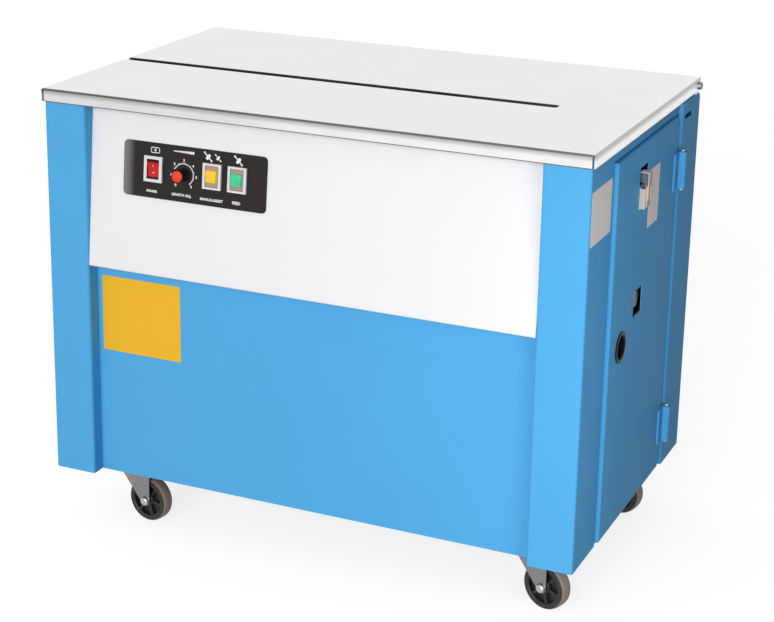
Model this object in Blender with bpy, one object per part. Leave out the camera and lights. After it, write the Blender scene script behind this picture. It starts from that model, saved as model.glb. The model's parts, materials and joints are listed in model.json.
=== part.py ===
"""Semi automatic strapping machine: the solids, each a separate named piece.

Metres, +Z up, +X along the table's length, the operator stands at -Y.
The origin is on the floor, under the centre of the table.
Run with: blender --background --python part.py
"""
import math

import bmesh
import bpy
from mathutils import Matrix, Vector

# ---------------------------------------------------------------- driving dimensions
TABLE_LENGTH = 0.895
TABLE_DEPTH = 0.560
TABLE_HEIGHT = 0.735
TABLE_SHEET = 0.0015
TABLE_FLANGE = 0.0205
TABLE_BEND = 0.003
TABLE_CORNER_GAP = 0.0045
TABLE_FRONT_OVERHANG = 0.002
TABLE_SIDE_OVERHANG = 0.004
TABLE_REAR_OVERHANG = 0.008
TABLE_REST_GAP = 0.001

SLOT_WIDTH = 0.019
SLOT_FROM_CENTRE = 0.0265
SLOT_RIGHT_END = 0.139
SLOT_FLANGE_NOTCH = 0.008

PIVOT_FROM_REAR = 0.016
PIVOT_DROP = 0.011
PIVOT_EAR_RADIUS = 0.007
PIVOT_SHANK_RADIUS = 0.004
PIVOT_HEAD_RADIUS = 0.0063
PIVOT_HEAD_LENGTH = 0.005
PIVOT_COLLAR_RADIUS = 0.006

BODY_ABOVE_WHEEL = 0.025
SHEET = 0.002
THIN_SHEET = 0.0015
BEND = 0.004
SEAT_GAP = 0.0003
RUN_GAP = 0.0004

FRONT_POST_WIDTH = 0.072
FRONT_POST_SIDE = 0.1045
FRONT_POST_LIP = 0.020
PANEL_RECESS = 0.0252
REAR_POST_SIDE = 0.104
REAR_POST_LIP = 0.0078
REAR_POST_BACK = 0.060
REAR_TOP_DROP = 0.0015
REAR_SLOT_LENGTH = 0.046
REAR_SLOT_HEIGHT = 0.008
REAR_SLOT_DROP = 0.046
REAR_SLOT_FROM_LIP = 0.038
REAR_CHAMFER = 0.010

UPPER_PANEL_DROP = 0.2793
UPPER_PANEL_TOP_RECESS = 0.0268
UPPER_PANEL_FOOT_RECESS = 0.0013
UPPER_PANEL_RETURN = 0.018
UPPER_PANEL_TOP_GAP = 0.001
LOWER_PANEL_LAP = 0.090

DOOR_PROUD = 0.0059
DOOR_DEPTH = 0.0078
DOOR_FROM_DEPTH = 0.242
DOOR_BOTTOM_GAP = 0.005
DOOR_TOP_DROP = 0.0375
DOOR_EDGE = 0.003
DOOR_SIDE_GAP = 0.0035
HEADER_GAP = 0.002
PANEL_SIDE_GAP = 0.0025

WINDOW_WIDTH = 0.044
WINDOW_HEIGHT = 0.0406
WINDOW_FROM_EDGE = 0.1365
WINDOW_BELOW_TOP = 0.2485
CUP_RADIUS = 0.0245
CUP_RIM = 0.0022
CUP_BODY_RADIUS = 0.0212
CUP_DEPTH = 0.016
CUP_WALL = 0.0015
CUP_FROM_EDGE = 0.0556
CUP_BELOW_TOP = 0.2962

HINGE_HEIGHT = 0.060
HINGE_HALF = 0.0068
HINGE_ROUND = 0.0035
HINGE_PIN_RADIUS = 0.0032
HINGE_PIN_TIP = 0.0025
HINGE_LEAF = 0.003
HINGE_LEAF_REACH = 0.020
HINGE_PROUD = 0.007
HINGE_FROM_EDGE = 0.008
HINGE_UPPER_BELOW_TOP = 0.0865
HINGE_LOWER_ABOVE_FOOT = 0.076

LATCH_FROM_EDGE = 0.125
LATCH_BASE_WIDTH = 0.024
LATCH_BASE_HEIGHT = 0.034
LATCH_BASE_BELOW_TOP = 0.0805
LATCH_PLATE = 0.0015
LATCH_EAR_DEPTH = 0.0092
LATCH_LEVER_WIDTH = 0.013
LATCH_LEVER_DEPTH = 0.0086
LATCH_LEVER_LENGTH = 0.0235
LATCH_PIN_RADIUS = 0.0015
LATCH_PIN_OUT = 0.0062
LATCH_ROUND = 0.004
LATCH_LINK_DROP = 0.011
LATCH_LINK_OUT = 0.0023
LATCH_LINK_PIN = 0.0011
LATCH_ARM = 0.0015
LATCH_PIN_BELOW_TOP = 0.0705
CUTOUT_WIDTH = 0.0415
CUTOUT_HEIGHT = 0.0285
CUTOUT_BELOW_TOP = 0.0335
CATCH_WIDTH = 0.010
CATCH_HEIGHT = 0.015
CATCH_BELOW_TOP = 0.0423
CATCH_OUT = 0.009
CATCH_PLATE_WIDTH = 0.030

FASCIA_WIDTH = 0.247
FASCIA_HEIGHT = 0.0865
FASCIA_THICK = 0.002
FASCIA_CORNER = 0.007
FASCIA_FROM_LEFT = 0.2596
FASCIA_UP = 0.1672
BEZEL_PROUD = 0.004
ROCKER_X = -0.0698
ROCKER_Y = 0.0024
ROCKER_BEZEL = (0.0315, 0.040)
ROCKER_OPENING = (0.0215, 0.031)
ROCKER_LENGTH = 0.0236
ROCKER_TILT = math.radians(8.0)
KNOB_X = -0.018
KNOB_Y = -0.0005
KNOB_RADIUS = 0.0105
KNOB_HEIGHT = 0.021
KNOB_SHAFT = 0.003
RESET_X = 0.0322
FEED_X = 0.0751
BUTTON_Y = 0.0030
BUTTON_BEZEL = (0.0312, 0.0396)
BUTTON_OPENING = (0.0232, 0.0332)
BUTTON_CAP = (0.0214, 0.0205)
BUTTON_RISE = 0.0060
BUTTON_TRAVEL = 0.003
SWITCH_DEPTH = 0.022
SWITCH_WALL = 0.0025

WHEEL_RADIUS = 0.0375
WHEEL_WIDTH = 0.024
WHEEL_HUB_RADIUS = 0.013
WHEEL_RIM = 0.009
WHEEL_WEB = 0.010
AXLE_RADIUS = 0.004
AXLE_HEAD_RADIUS = 0.0062
AXLE_HEAD_LENGTH = 0.004
CASTER_TRAIL = 0.026
CASTER_PLATE = 0.066
CASTER_PLATE_THICK = 0.003
CASTER_BOSS_RADIUS = 0.012
CASTER_BOSS_HEIGHT = 0.006
FORK_CROWN_RADIUS = 0.024
FORK_SHEET = 0.0025
FORK_SIDE_GAP = 0.0015
FORK_EAR_RADIUS = 0.0085
CASTER_FROM_LEFT = 0.1105
CASTER_FROM_RIGHT = 0.0895
CASTER_FROM_FRONT = 0.083
CASTER_FROM_REAR = 0.103
CASTER_HEADINGS = {
    "front_left": math.radians(-9.0),
    "front_right": math.radians(-17.0),
    "rear_left": math.radians(-6.0),
    "rear_right": math.radians(-10.0),
}

TRAY_HEIGHT = 0.030
RING_WIDTH = 0.022
RING_HEIGHT = 0.0135
SHELF_DROP = 0.205
SHELF_FLANGE = 0.020
SHELF_BEYOND_HEAD = 0.150
SHELF_FROM_RIGHT = 0.1225

REEL_DROP = 0.294
REEL_Y = 0.0
REEL_FROM_WALL = 0.075
REEL_CORE_RADIUS = 0.098
REEL_WALL = 0.003
REEL_WIDTH = 0.072
REEL_DISC = 0.002
REEL_BEHIND_DOOR = 0.1114
REEL_AXLE_RADIUS = 0.010
REEL_BOSS_RADIUS = 0.018
COIL_BELOW_RIM = 0.020
NUT_RADIUS = 0.0135
NUT_LENGTH = 0.0225
BRACKET_WIDTH = 0.120
BRACKET_PLATE = 0.004
BRACKET_FOOT = 0.040

HEAD_WIDTH = 0.165
HEAD_FROM_RIGHT = 0.1325
HEAD_CHEEK = 0.006
HEAD_FRONT = -0.100
HEAD_REAR = 0.090
HEAD_BASE = 0.005
ANVIL_THICK = 0.0058
ANVIL_DROP = 0.003
ANVIL_DEPTH = 0.037
ANVIL_TRAVEL = 0.028
CAM_DROP = 0.115
CAM_SHAFT_RADIUS = 0.008
CAM_BASE_RADIUS = 0.018
CAM_LIFT = 0.008
CAM_THICK = 0.010
BRIDGE_DROP = 0.035
BRIDGE_THICK = 0.010
PRESS_WIDTH = 0.035
PRESS_DEPTH = 0.026
PRESS_TOP_DROP = 0.013
BLADE_WIDTH = 0.020
BLADE_THICK = 0.001
BLADE_DROP = 0.0105
BLADE_REACH = 0.040
CARRIAGE_WIDTH = 0.026
CARRIAGE_LENGTH = 0.045
BLADE_TIP_GAP = 0.003
FEED_RADIUS = 0.018
PINCH_RADIUS = 0.014
FEED_FROM_CHEEK = 0.027
FEED_LENGTH = 0.056
STRAP_GAP = 0.0005
ROLLER_SHAFT = 0.005
MOTOR_RADIUS = 0.030
MOTOR_LENGTH = 0.085
GEARBOX_SIDE = 0.064
GEARBOX_LENGTH = 0.036

CHANNEL_DEPTH = 0.010
CHANNEL_SHEET = 0.0015

BOX_WIDTH = 0.260
BOX_DEPTH = 0.080
BOX_HEIGHT = 0.130
GLAND_RADIUS = 0.0125
GLAND_BODY_RADIUS = 0.0079
GLAND_FROM_LEFT = 0.1475
GLAND_Z = 0.190
VENT_WIDTH = 0.090
VENT_HEIGHT = 0.006
VENT_PITCH = 0.016
VENT_ROWS = 6

ROUND = 32
SMALL_ROUND = 20

# ---------------------------------------------------------------- worked-out places
HALF_LENGTH = TABLE_LENGTH / 2
TABLE_FRONT = -TABLE_DEPTH / 2
TABLE_REAR = TABLE_DEPTH / 2
TABLE_UNDER = TABLE_HEIGHT - TABLE_SHEET
FLANGE_FOOT = TABLE_HEIGHT - TABLE_FLANGE
BODY_FRONT = TABLE_FRONT + TABLE_FRONT_OVERHANG
BODY_REAR = TABLE_REAR - TABLE_REAR_OVERHANG
BODY_SIDE = HALF_LENGTH - TABLE_SIDE_OVERHANG
DOOR_FACE = BODY_SIDE + DOOR_PROUD
BODY_FOOT = 2 * WHEEL_RADIUS + BODY_ABOVE_WHEEL
POST_TOP = TABLE_UNDER - TABLE_REST_GAP
REAR_POST_TOP = FLANGE_FOOT - REAR_TOP_DROP
PIVOT_Y = TABLE_REAR - PIVOT_FROM_REAR
PIVOT_Z = TABLE_HEIGHT - PIVOT_DROP
DOOR_WIDTH = TABLE_DEPTH - DOOR_FROM_DEPTH
FASCIA_X = FASCIA_FROM_LEFT - HALF_LENGTH
GLAND_X = GLAND_FROM_LEFT - HALF_LENGTH
CASTER_LEFT_X = CASTER_FROM_LEFT - HALF_LENGTH
CASTER_RIGHT_X = HALF_LENGTH - CASTER_FROM_RIGHT
CASTER_FRONT_Y = TABLE_FRONT + CASTER_FROM_FRONT
CASTER_REAR_Y = TABLE_REAR - CASTER_FROM_REAR
HEAD_RIGHT = HALF_LENGTH - HEAD_FROM_RIGHT
HEAD_LEFT = HEAD_RIGHT - HEAD_WIDTH
PRESS_X = (HEAD_LEFT + HEAD_RIGHT) / 2
FEED_X_PLACE = HEAD_RIGHT - FEED_FROM_CHEEK
SHELF_LEFT = HEAD_LEFT - SHELF_BEYOND_HEAD
SHELF_RIGHT = HALF_LENGTH - SHELF_FROM_RIGHT
REEL_START = DOOR_FACE - REEL_BEHIND_DOOR
REEL_Z = TABLE_HEIGHT - REEL_DROP
REEL_RADIUS = TABLE_DEPTH / 2 - REEL_FROM_WALL
COIL_RADIUS = REEL_RADIUS - COIL_BELOW_RIM
JAMB_Y = BODY_FRONT + FRONT_POST_SIDE
DOOR_FRONT = JAMB_Y + DOOR_SIDE_GAP
DOOR_REAR = DOOR_FRONT + DOOR_WIDTH
DOOR_TOP = TABLE_HEIGHT - DOOR_TOP_DROP
DOOR_FOOT = BODY_FOOT + DOOR_BOTTOM_GAP
REAR_LIP_Y = BODY_REAR - REAR_POST_SIDE
LOWER_PANEL_Y = BODY_FRONT + PANEL_RECESS
POST_INNER = BODY_SIDE - FRONT_POST_WIDTH
FRAME_SIDE = BODY_SIDE - SHEET - SEAT_GAP
FRAME_FRONT = LOWER_PANEL_Y + THIN_SHEET + SEAT_GAP
REAR_SHEET_Y = BODY_REAR - SHEET - SEAT_GAP
FRAME_REAR = REAR_SHEET_Y - THIN_SHEET - SEAT_GAP
UPPER_FOOT = TABLE_HEIGHT - UPPER_PANEL_DROP
UPPER_TOP = TABLE_UNDER - UPPER_PANEL_TOP_GAP
HINGE_X = DOOR_FACE + HINGE_PROUD
HINGE_Y = DOOR_REAR + HINGE_FROM_EDGE
HINGE_CENTRES = {
    "upper": DOOR_TOP - HINGE_UPPER_BELOW_TOP,
    "lower": DOOR_FOOT + HINGE_LOWER_ABOVE_FOOT,
}
SLOT_Y = -SLOT_FROM_CENTRE
SLOT_END = HALF_LENGTH - SLOT_RIGHT_END
RING_TOP = REAR_POST_TOP - REAR_TOP_DROP
RING_FOOT = RING_TOP - RING_HEIGHT
SHELF_TOP = TABLE_HEIGHT - SHELF_DROP
SLOPE = math.atan2(UPPER_PANEL_TOP_RECESS - UPPER_PANEL_FOOT_RECESS, UPPER_TOP - UPPER_FOOT)
SLOPE_UP = Vector((0.0, math.sin(SLOPE), math.cos(SLOPE)))
FASCIA_CENTRE = Vector((FASCIA_X, BODY_FRONT + UPPER_PANEL_FOOT_RECESS, UPPER_FOOT))
FASCIA_CENTRE += SLOPE_UP * FASCIA_UP
LATCH_Y = DOOR_FRONT + LATCH_FROM_EDGE
LATCH_PIN_X = DOOR_FACE + LATCH_PIN_OUT
LATCH_PIN_Z = DOOR_TOP - LATCH_PIN_BELOW_TOP
LINK_X = LATCH_PIN_X + LATCH_LINK_OUT
LINK_Z = LATCH_PIN_Z - LATCH_LINK_DROP
CATCH_TOP = DOOR_TOP - CATCH_BELOW_TOP
CAM_Y = SLOT_Y
CAM_Z = TABLE_HEIGHT - CAM_DROP
BRIDGE_TOP = TABLE_HEIGHT - BRIDGE_DROP
FEED_Z = SHELF_TOP + SEAT_GAP + HEAD_BASE + FEED_RADIUS + 0.010
PINCH_Z = FEED_Z + FEED_RADIUS + PINCH_RADIUS + STRAP_GAP


# ---------------------------------------------------------------- helpers
def linear(channel):
    """One sRGB channel, 0 to 1, as a linear value."""
    if channel <= 0.04045:
        return channel / 12.92
    return ((channel + 0.055) / 1.055) ** 2.4


def material(name, colour, roughness, metallic=0.0):
    """A Principled material from an sRGB hex colour."""
    made = bpy.data.materials.new(name)
    made.use_nodes = True
    shader = made.node_tree.nodes["Principled BSDF"]
    rgb = [linear(int(colour[i:i + 2], 16) / 255) for i in (0, 2, 4)]
    shader.inputs["Base Color"].default_value = (*rgb, 1.0)
    shader.inputs["Roughness"].default_value = roughness
    shader.inputs["Metallic"].default_value = metallic
    made.diffuse_color = (*rgb, 1.0)
    return made


def box(low, high):
    """A rectangular block between two corners."""
    shape = bmesh.new()
    bmesh.ops.create_cube(shape, size=1.0)
    low, high = Vector(low), Vector(high)
    bmesh.ops.scale(shape, vec=high - low, verts=shape.verts)
    bmesh.ops.translate(shape, vec=(low + high) / 2, verts=shape.verts)
    return shape


def axis_turn(axis):
    """The rotation that takes +Z to the named axis."""
    turns = {
        "X": Matrix.Rotation(math.pi / 2, 3, "Y"),
        "Y": Matrix.Rotation(-math.pi / 2, 3, "X"),
        "Z": Matrix.Identity(3),
    }
    return turns[axis]


def rod(centre, axis, radius, start, end, sides=ROUND):
    """A round bar along an axis through centre, from start to end on that axis."""
    shape = bmesh.new()
    bmesh.ops.create_cone(
        shape, cap_ends=True, segments=sides, radius1=radius, radius2=radius, depth=end - start
    )
    bmesh.ops.translate(shape, vec=(0, 0, (start + end) / 2), verts=shape.verts)
    bmesh.ops.rotate(shape, cent=(0, 0, 0), matrix=axis_turn(axis), verts=shape.verts)
    place = Vector(centre)
    place["XYZ".index(axis)] = 0.0
    bmesh.ops.translate(shape, vec=place, verts=shape.verts)
    return shape


def turned(centre, axis, profile, sides=ROUND):
    """A turned solid: profile is a closed outline of (radius, height), radius over 0."""
    shape = bmesh.new()
    corners = [shape.verts.new((radius, 0.0, height)) for radius, height in profile]
    edges = [shape.edges.new((corners[i - 1], corners[i])) for i in range(len(corners))]
    bmesh.ops.spin(
        shape, geom=corners + edges, cent=(0, 0, 0), axis=(0, 0, 1),
        angle=2 * math.pi, steps=sides, use_merge=True,
    )
    bmesh.ops.remove_doubles(shape, verts=shape.verts, dist=1e-6)
    bmesh.ops.rotate(shape, cent=(0, 0, 0), matrix=axis_turn(axis), verts=shape.verts)
    bmesh.ops.translate(shape, vec=centre, verts=shape.verts)
    bmesh.ops.recalc_face_normals(shape, faces=shape.faces)
    return shape


def prism(outline, axis, start, end):
    """A closed outline extruded along an axis.

    The outline's two coordinates are (X, Y) for axis Z, (Y, Z) for axis X
    and (X, Z) for axis Y.
    """
    spots = {
        "Z": lambda u, v: (u, v, start),
        "X": lambda u, v: (start, u, v),
        "Y": lambda u, v: (u, start, v),
    }
    shape = bmesh.new()
    face = shape.faces.new([shape.verts.new(spots[axis](u, v)) for u, v in outline])
    grown = bmesh.ops.extrude_face_region(shape, geom=[face])
    moved = [item for item in grown["geom"] if isinstance(item, bmesh.types.BMVert)]
    step = Vector((0, 0, 0))
    step["XYZ".index(axis)] = end - start
    bmesh.ops.translate(shape, vec=step, verts=moved)
    bmesh.ops.recalc_face_normals(shape, faces=shape.faces)
    return shape


def arc(centre, radius, first, last, steps):
    """Points of an arc, with its angles in degrees."""
    points = []
    for i in range(steps + 1):
        angle = math.radians(first + (last - first) * i / steps)
        points.append((centre[0] + radius * math.cos(angle), centre[1] + radius * math.sin(angle)))
    return points


def rounded_corner(before, corner, after, radius, steps=4):
    """The arc that replaces a corner of an outline."""
    before, corner, after = Vector(before), Vector(corner), Vector(after)
    into = (before - corner).normalized()
    out = (after - corner).normalized()
    half = into.angle(out) / 2
    reach = radius / math.tan(half)
    centre = corner + (into + out).normalized() * (radius / math.sin(half))
    start, end = corner + into * reach - centre, corner + out * reach - centre
    sweep = start.angle_signed(end)
    points = []
    for i in range(steps + 1):
        turn = Matrix.Rotation(-sweep * i / steps, 2)
        points.append(tuple(centre + turn @ start))
    return points


def folded(path, thickness, axis, start, end, bend=BEND):
    """A folded sheet: path is its outer side, and the sheet lies to the path's left."""
    points = [Vector(p) for p in path]
    outer, inner = [tuple(points[0])], []
    headings = [(points[i + 1] - points[i]).normalized() for i in range(len(points) - 1)]
    lefts = [Vector((-h.y, h.x)) for h in headings]
    inner.append(tuple(points[0] + lefts[0] * thickness))
    for i in range(1, len(points) - 1):
        miter = (lefts[i - 1] + lefts[i]) / (1 + lefts[i - 1].dot(lefts[i]))
        inside = points[i] + miter * thickness
        turns_left = headings[i - 1].cross(headings[i]) > 0
        outer_bend, inner_bend = (bend, bend - thickness) if turns_left else (bend - thickness, bend)
        before, after = points[i] - headings[i - 1], points[i] + headings[i]
        outer += rounded_corner(before, points[i], after, outer_bend)
        shift = inside - points[i]
        inner += rounded_corner(before + shift, inside, after + shift, inner_bend)
    outer.append(tuple(points[-1]))
    inner.append(tuple(points[-1] + lefts[-1] * thickness))
    return prism(outer + inner[::-1], axis, start, end)


def rounded_box(low, high, radius, axis, steps=4):
    """A block whose four edges along one axis are rounded."""
    index = "XYZ".index(axis)
    (u0, u1), (v0, v1) = [(low[i], high[i]) for i in range(3) if i != index]
    outline = arc((u1 - radius, v0 + radius), radius, -90, 0, steps)
    outline += arc((u1 - radius, v1 - radius), radius, 0, 90, steps)
    outline += arc((u0 + radius, v1 - radius), radius, 90, 180, steps)
    outline += arc((u0 + radius, v0 + radius), radius, 180, 270, steps)
    return prism(outline, axis, low[index], high[index])


def merged(shapes):
    """Shapes that stand apart, as one mesh: for cutters with several holes."""
    whole = bmesh.new()
    for shape in shapes:
        spare = bpy.data.meshes.new("spare")
        shape.to_mesh(spare)
        shape.free()
        whole.from_mesh(spare)
        bpy.data.meshes.remove(spare)
    return whole


def place_object(name, shape, origin, parent):
    """An object from a shape in its parent's axes, with its origin moved to origin."""
    bmesh.ops.translate(shape, vec=-Vector(origin), verts=shape.verts)
    mesh = bpy.data.meshes.new(name)
    shape.to_mesh(mesh)
    shape.free()
    made = bpy.data.objects.new(name, mesh)
    made.location = origin
    made.parent = parent
    bpy.context.collection.objects.link(made)
    return made


def part(name, finish, shape, add=(), cut=(), origin=(0, 0, 0), parent=None, soft_edge=0.0):
    """One named solid: a shape, with others joined to it and others cut from it."""
    made = place_object(name, shape, origin, parent)
    made.data.materials.append(finish)
    for kind, tools in (("UNION", add), ("DIFFERENCE", cut)):
        for number, tool_shape in enumerate(tools):
            tool = place_object(f"{name}_{kind.lower()}_{number}", tool_shape, origin, parent)
            tool.hide_render = True
            tool.display_type = "WIRE"
            step = made.modifiers.new(kind.title(), "BOOLEAN")
            step.operation = kind
            step.solver = "EXACT"
            step.object = tool
    if soft_edge:
        bevel = made.modifiers.new("Edge", "BEVEL")
        bevel.width = soft_edge
        bevel.segments = 2
        bevel.limit_method = "ANGLE"
        bevel.angle_limit = math.radians(50)
    made.data.shade_smooth()
    made.data.set_sharp_from_angle(angle=math.radians(35))
    return made


def mirrored(shape):
    """The same shape on the other side of the machine."""
    bmesh.ops.scale(shape, vec=(-1, 1, 1), verts=shape.verts)
    bmesh.ops.reverse_faces(shape, faces=shape.faces)
    return shape


def handed(shape, side):
    """A shape drawn for the right side, as it is or mirrored for the left."""
    return shape if side == "right" else mirrored(shape)


# ---------------------------------------------------------------- cabinet sheet metal
def base_tray(finish):
    low = (-FRAME_SIDE, FRAME_FRONT, BODY_FOOT)
    high = (FRAME_SIDE, FRAME_REAR, BODY_FOOT + TRAY_HEIGHT)
    inside_low = [low[0] + SHEET, low[1] + SHEET, low[2] + SHEET]
    inside_high = [high[0] - SHEET, high[1] - SHEET, high[2] + SHEET]
    part("base_tray", finish, box(low, high), cut=[box(inside_low, inside_high)])


def top_frame(finish):
    front = FRAME_FRONT + TRAY_HEIGHT / 10
    low = (-FRAME_SIDE, front, RING_FOOT)
    high = (FRAME_SIDE, FRAME_REAR, RING_TOP)
    under = box(
        (low[0] + SHEET, low[1] + SHEET, low[2] - SHEET),
        (high[0] - SHEET, high[1] - SHEET, high[2] - SHEET),
    )
    through = box(
        (low[0] + RING_WIDTH, low[1] + RING_WIDTH, low[2] - SHEET),
        (high[0] - RING_WIDTH, high[1] - RING_WIDTH, high[2] + SHEET),
    )
    ears, holes = [], []
    for side in ("right", "left"):
        inner = FRAME_SIDE - SHEET
        radius = PIVOT_EAR_RADIUS
        foot = RING_TOP - SHEET
        outline = [(PIVOT_Y - 2 * radius, foot), (FRAME_REAR, foot)]
        outline += arc((PIVOT_Y, PIVOT_Z), radius, -20, 160, 10)
        ears.append(handed(prism(outline, "X", inner, FRAME_SIDE), side))
        hole = rod((0, PIVOT_Y, PIVOT_Z), "X", PIVOT_SHANK_RADIUS + RUN_GAP,
                   inner - SHEET, FRAME_SIDE + SHEET, SMALL_ROUND)
        holes.append(handed(hole, side))
    part("top_frame", finish, box(low, high), add=ears, cut=[under, through, merged(holes)])


def front_post(side, finish):
    path = [
        (POST_INNER, LOWER_PANEL_Y - SEAT_GAP),
        (POST_INNER, BODY_FRONT),
        (BODY_SIDE, BODY_FRONT),
        (BODY_SIDE, REAR_LIP_Y - SEAT_GAP),
    ]
    shape = folded(path, SHEET, "Z", BODY_FOOT, POST_TOP)
    doorway = box((BODY_SIDE - 2 * SHEET, JAMB_Y, BODY_FOOT - SHEET),
                  (BODY_SIDE + SHEET, REAR_LIP_Y + SHEET, DOOR_TOP + HEADER_GAP))
    rear_end = box((BODY_SIDE - 2 * SHEET, REAR_LIP_Y - 3 * SHEET, BODY_FOOT),
                   (BODY_SIDE + SHEET, REAR_LIP_Y + SHEET, POST_TOP + SHEET))
    jamb = box((BODY_SIDE - FRONT_POST_LIP, JAMB_Y - SHEET, BODY_FOOT + TRAY_HEIGHT + SEAT_GAP),
               (BODY_SIDE - SHEET / 2, JAMB_Y, RING_FOOT - SEAT_GAP))
    part(f"front_post_{side}", finish, handed(shape, side), add=[handed(jamb, side)],
         cut=[handed(doorway, side), handed(rear_end, side)])


def rear_post(side, finish):
    path = [
        (DOOR_FACE - REAR_POST_LIP, REAR_LIP_Y),
        (DOOR_FACE, REAR_LIP_Y),
        (DOOR_FACE, BODY_REAR),
        (DOOR_FACE - REAR_POST_BACK, BODY_REAR),
    ]
    shape = folded(path, SHEET, "Z", BODY_FOOT, REAR_POST_TOP)
    slot_y = REAR_LIP_Y + REAR_SLOT_FROM_LIP
    slot_z = TABLE_HEIGHT - REAR_SLOT_DROP
    slot = rounded_box(
        (DOOR_FACE - 2 * SHEET, slot_y - REAR_SLOT_LENGTH / 2, slot_z - REAR_SLOT_HEIGHT / 2),
        (DOOR_FACE + SHEET, slot_y + REAR_SLOT_LENGTH / 2, slot_z + REAR_SLOT_HEIGHT / 2),
        REAR_SLOT_HEIGHT / 2 - SEAT_GAP, "X",
    )
    corner = [
        (BODY_REAR - REAR_CHAMFER, REAR_POST_TOP + SHEET),
        (BODY_REAR + SHEET, REAR_POST_TOP + SHEET),
        (BODY_REAR + SHEET, REAR_POST_TOP - REAR_CHAMFER),
        (BODY_REAR - REAR_CHAMFER, REAR_POST_TOP - SEAT_GAP),
    ]
    chamfer = prism(corner, "X", DOOR_FACE - REAR_POST_BACK - SHEET, DOOR_FACE + SHEET)
    part(f"rear_post_{side}", finish, handed(shape, side),
         cut=[handed(slot, side), handed(chamfer, side)])


def vent_slots(centre, axis):
    """A column of level slots; centre is (along, up) on the panel."""
    slots = []
    for row in range(VENT_ROWS):
        up = centre[1] + (row - (VENT_ROWS - 1) / 2) * VENT_PITCH
        low_along, high_along = centre[0] - VENT_WIDTH / 2, centre[0] + VENT_WIDTH / 2
        if axis == "Y":
            low = (low_along, BODY_REAR - 5 * SHEET, up - VENT_HEIGHT / 2)
            high = (high_along, BODY_REAR + SHEET, up + VENT_HEIGHT / 2)
        else:
            low = (-DOOR_FACE - SHEET, low_along, up - VENT_HEIGHT / 2)
            high = (-DOOR_FACE + 2 * SHEET, high_along, up + VENT_HEIGHT / 2)
        slots.append(rounded_box(low, high, VENT_HEIGHT / 2 - SEAT_GAP, axis, steps=3))
    return merged(slots)


def pan(low, high, side):
    """A shallow pan, open towards the machine, with its outer edges rounded."""
    shape = box(low, high)
    outer = [
        edge for edge in shape.edges
        if max(abs(vert.co.x - high[0]) for vert in edge.verts) < 1e-6
    ]
    bmesh.ops.bevel(shape, geom=outer, offset=DOOR_EDGE, segments=3, profile=0.5,
                    affect="EDGES", material=-1)
    hollow_low = [low[0] - SHEET, low[1] + THIN_SHEET, low[2] + THIN_SHEET]
    hollow = box(hollow_low, [high[i] - THIN_SHEET for i in range(3)])
    inner = [
        edge for edge in hollow.edges
        if max(abs(vert.co.x - high[0] + THIN_SHEET) for vert in edge.verts) < 1e-6
    ]
    bmesh.ops.bevel(hollow, geom=inner, offset=DOOR_EDGE - THIN_SHEET, segments=3,
                    profile=0.5, affect="EDGES", material=-1)
    return handed(shape, side), handed(hollow, side)


def left_side_panel(finish):
    low = (DOOR_FACE - DOOR_DEPTH, DOOR_FRONT, DOOR_FOOT)
    high = (DOOR_FACE, REAR_LIP_Y - PANEL_SIDE_GAP, DOOR_TOP)
    shape, hollow = pan(low, high, "left")
    middle = (low[1] + high[1]) / 2
    vents = vent_slots((middle, low[2] + (high[2] - low[2]) / 5), "X")
    part("left_side_panel", finish, shape, cut=[hollow, vents])


def rear_panel(finish):
    side = FRAME_SIDE - SHEET - SEAT_GAP
    low = (-side, REAR_SHEET_Y - THIN_SHEET, BODY_FOOT)
    high = (side, REAR_SHEET_Y, RING_TOP)
    gland = rod((GLAND_X, 0, GLAND_Z), "Y", GLAND_BODY_RADIUS + SEAT_GAP,
                BODY_REAR - 5 * SHEET, BODY_REAR + SHEET, SMALL_ROUND)
    middle = (BODY_FOOT + RING_TOP) / 2
    vents = vent_slots((SHELF_RIGHT / 2, middle), "Y")
    part("rear_panel", finish, box(low, high), cut=[vents, gland])


def cable_gland(finish):
    inner, outer = REAR_SHEET_Y - THIN_SHEET - SEAT_GAP, REAR_SHEET_Y + SEAT_GAP
    bore = GLAND_BODY_RADIUS / 2
    tip = TABLE_REAR - outer
    profile = [
        (bore, inner - outer - 0.006), (GLAND_RADIUS, inner - outer - 0.006),
        (GLAND_RADIUS, inner - outer), (GLAND_BODY_RADIUS, inner - outer),
        (GLAND_BODY_RADIUS, 0.0), (GLAND_RADIUS, 0.0), (GLAND_RADIUS, tip / 2),
        (GLAND_BODY_RADIUS, tip), (bore, tip),
    ]
    part("cable_gland", finish, turned((GLAND_X, outer, GLAND_Z), "Y", profile, SMALL_ROUND))


def lower_front_panel(finish):
    low = (-FRAME_SIDE, LOWER_PANEL_Y, BODY_FOOT)
    high = (FRAME_SIDE, LOWER_PANEL_Y + THIN_SHEET, UPPER_FOOT + LOWER_PANEL_LAP)
    part("lower_front_panel", finish, box(low, high))


def switch_holes(clearance):
    """Cutters, in the fascia's own axes, for everything that passes through it."""
    shapes = []
    openings = [
        (ROCKER_X, ROCKER_Y, ROCKER_OPENING),
        (RESET_X, BUTTON_Y, BUTTON_OPENING),
        (FEED_X, BUTTON_Y, BUTTON_OPENING),
    ]
    for x, y, opening in openings:
        half_x = opening[0] / 2 + SWITCH_WALL + clearance
        half_y = opening[1] / 2 + SWITCH_WALL + clearance
        shapes.append(box((x - half_x, y - half_y, -SWITCH_DEPTH), (x + half_x, y + half_y, 0.01)))
    shapes.append(rod((KNOB_X, KNOB_Y, 0), "Z", KNOB_SHAFT + RUN_GAP, -SWITCH_DEPTH, 0.01,
                      SMALL_ROUND))
    return merged(shapes)


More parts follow.
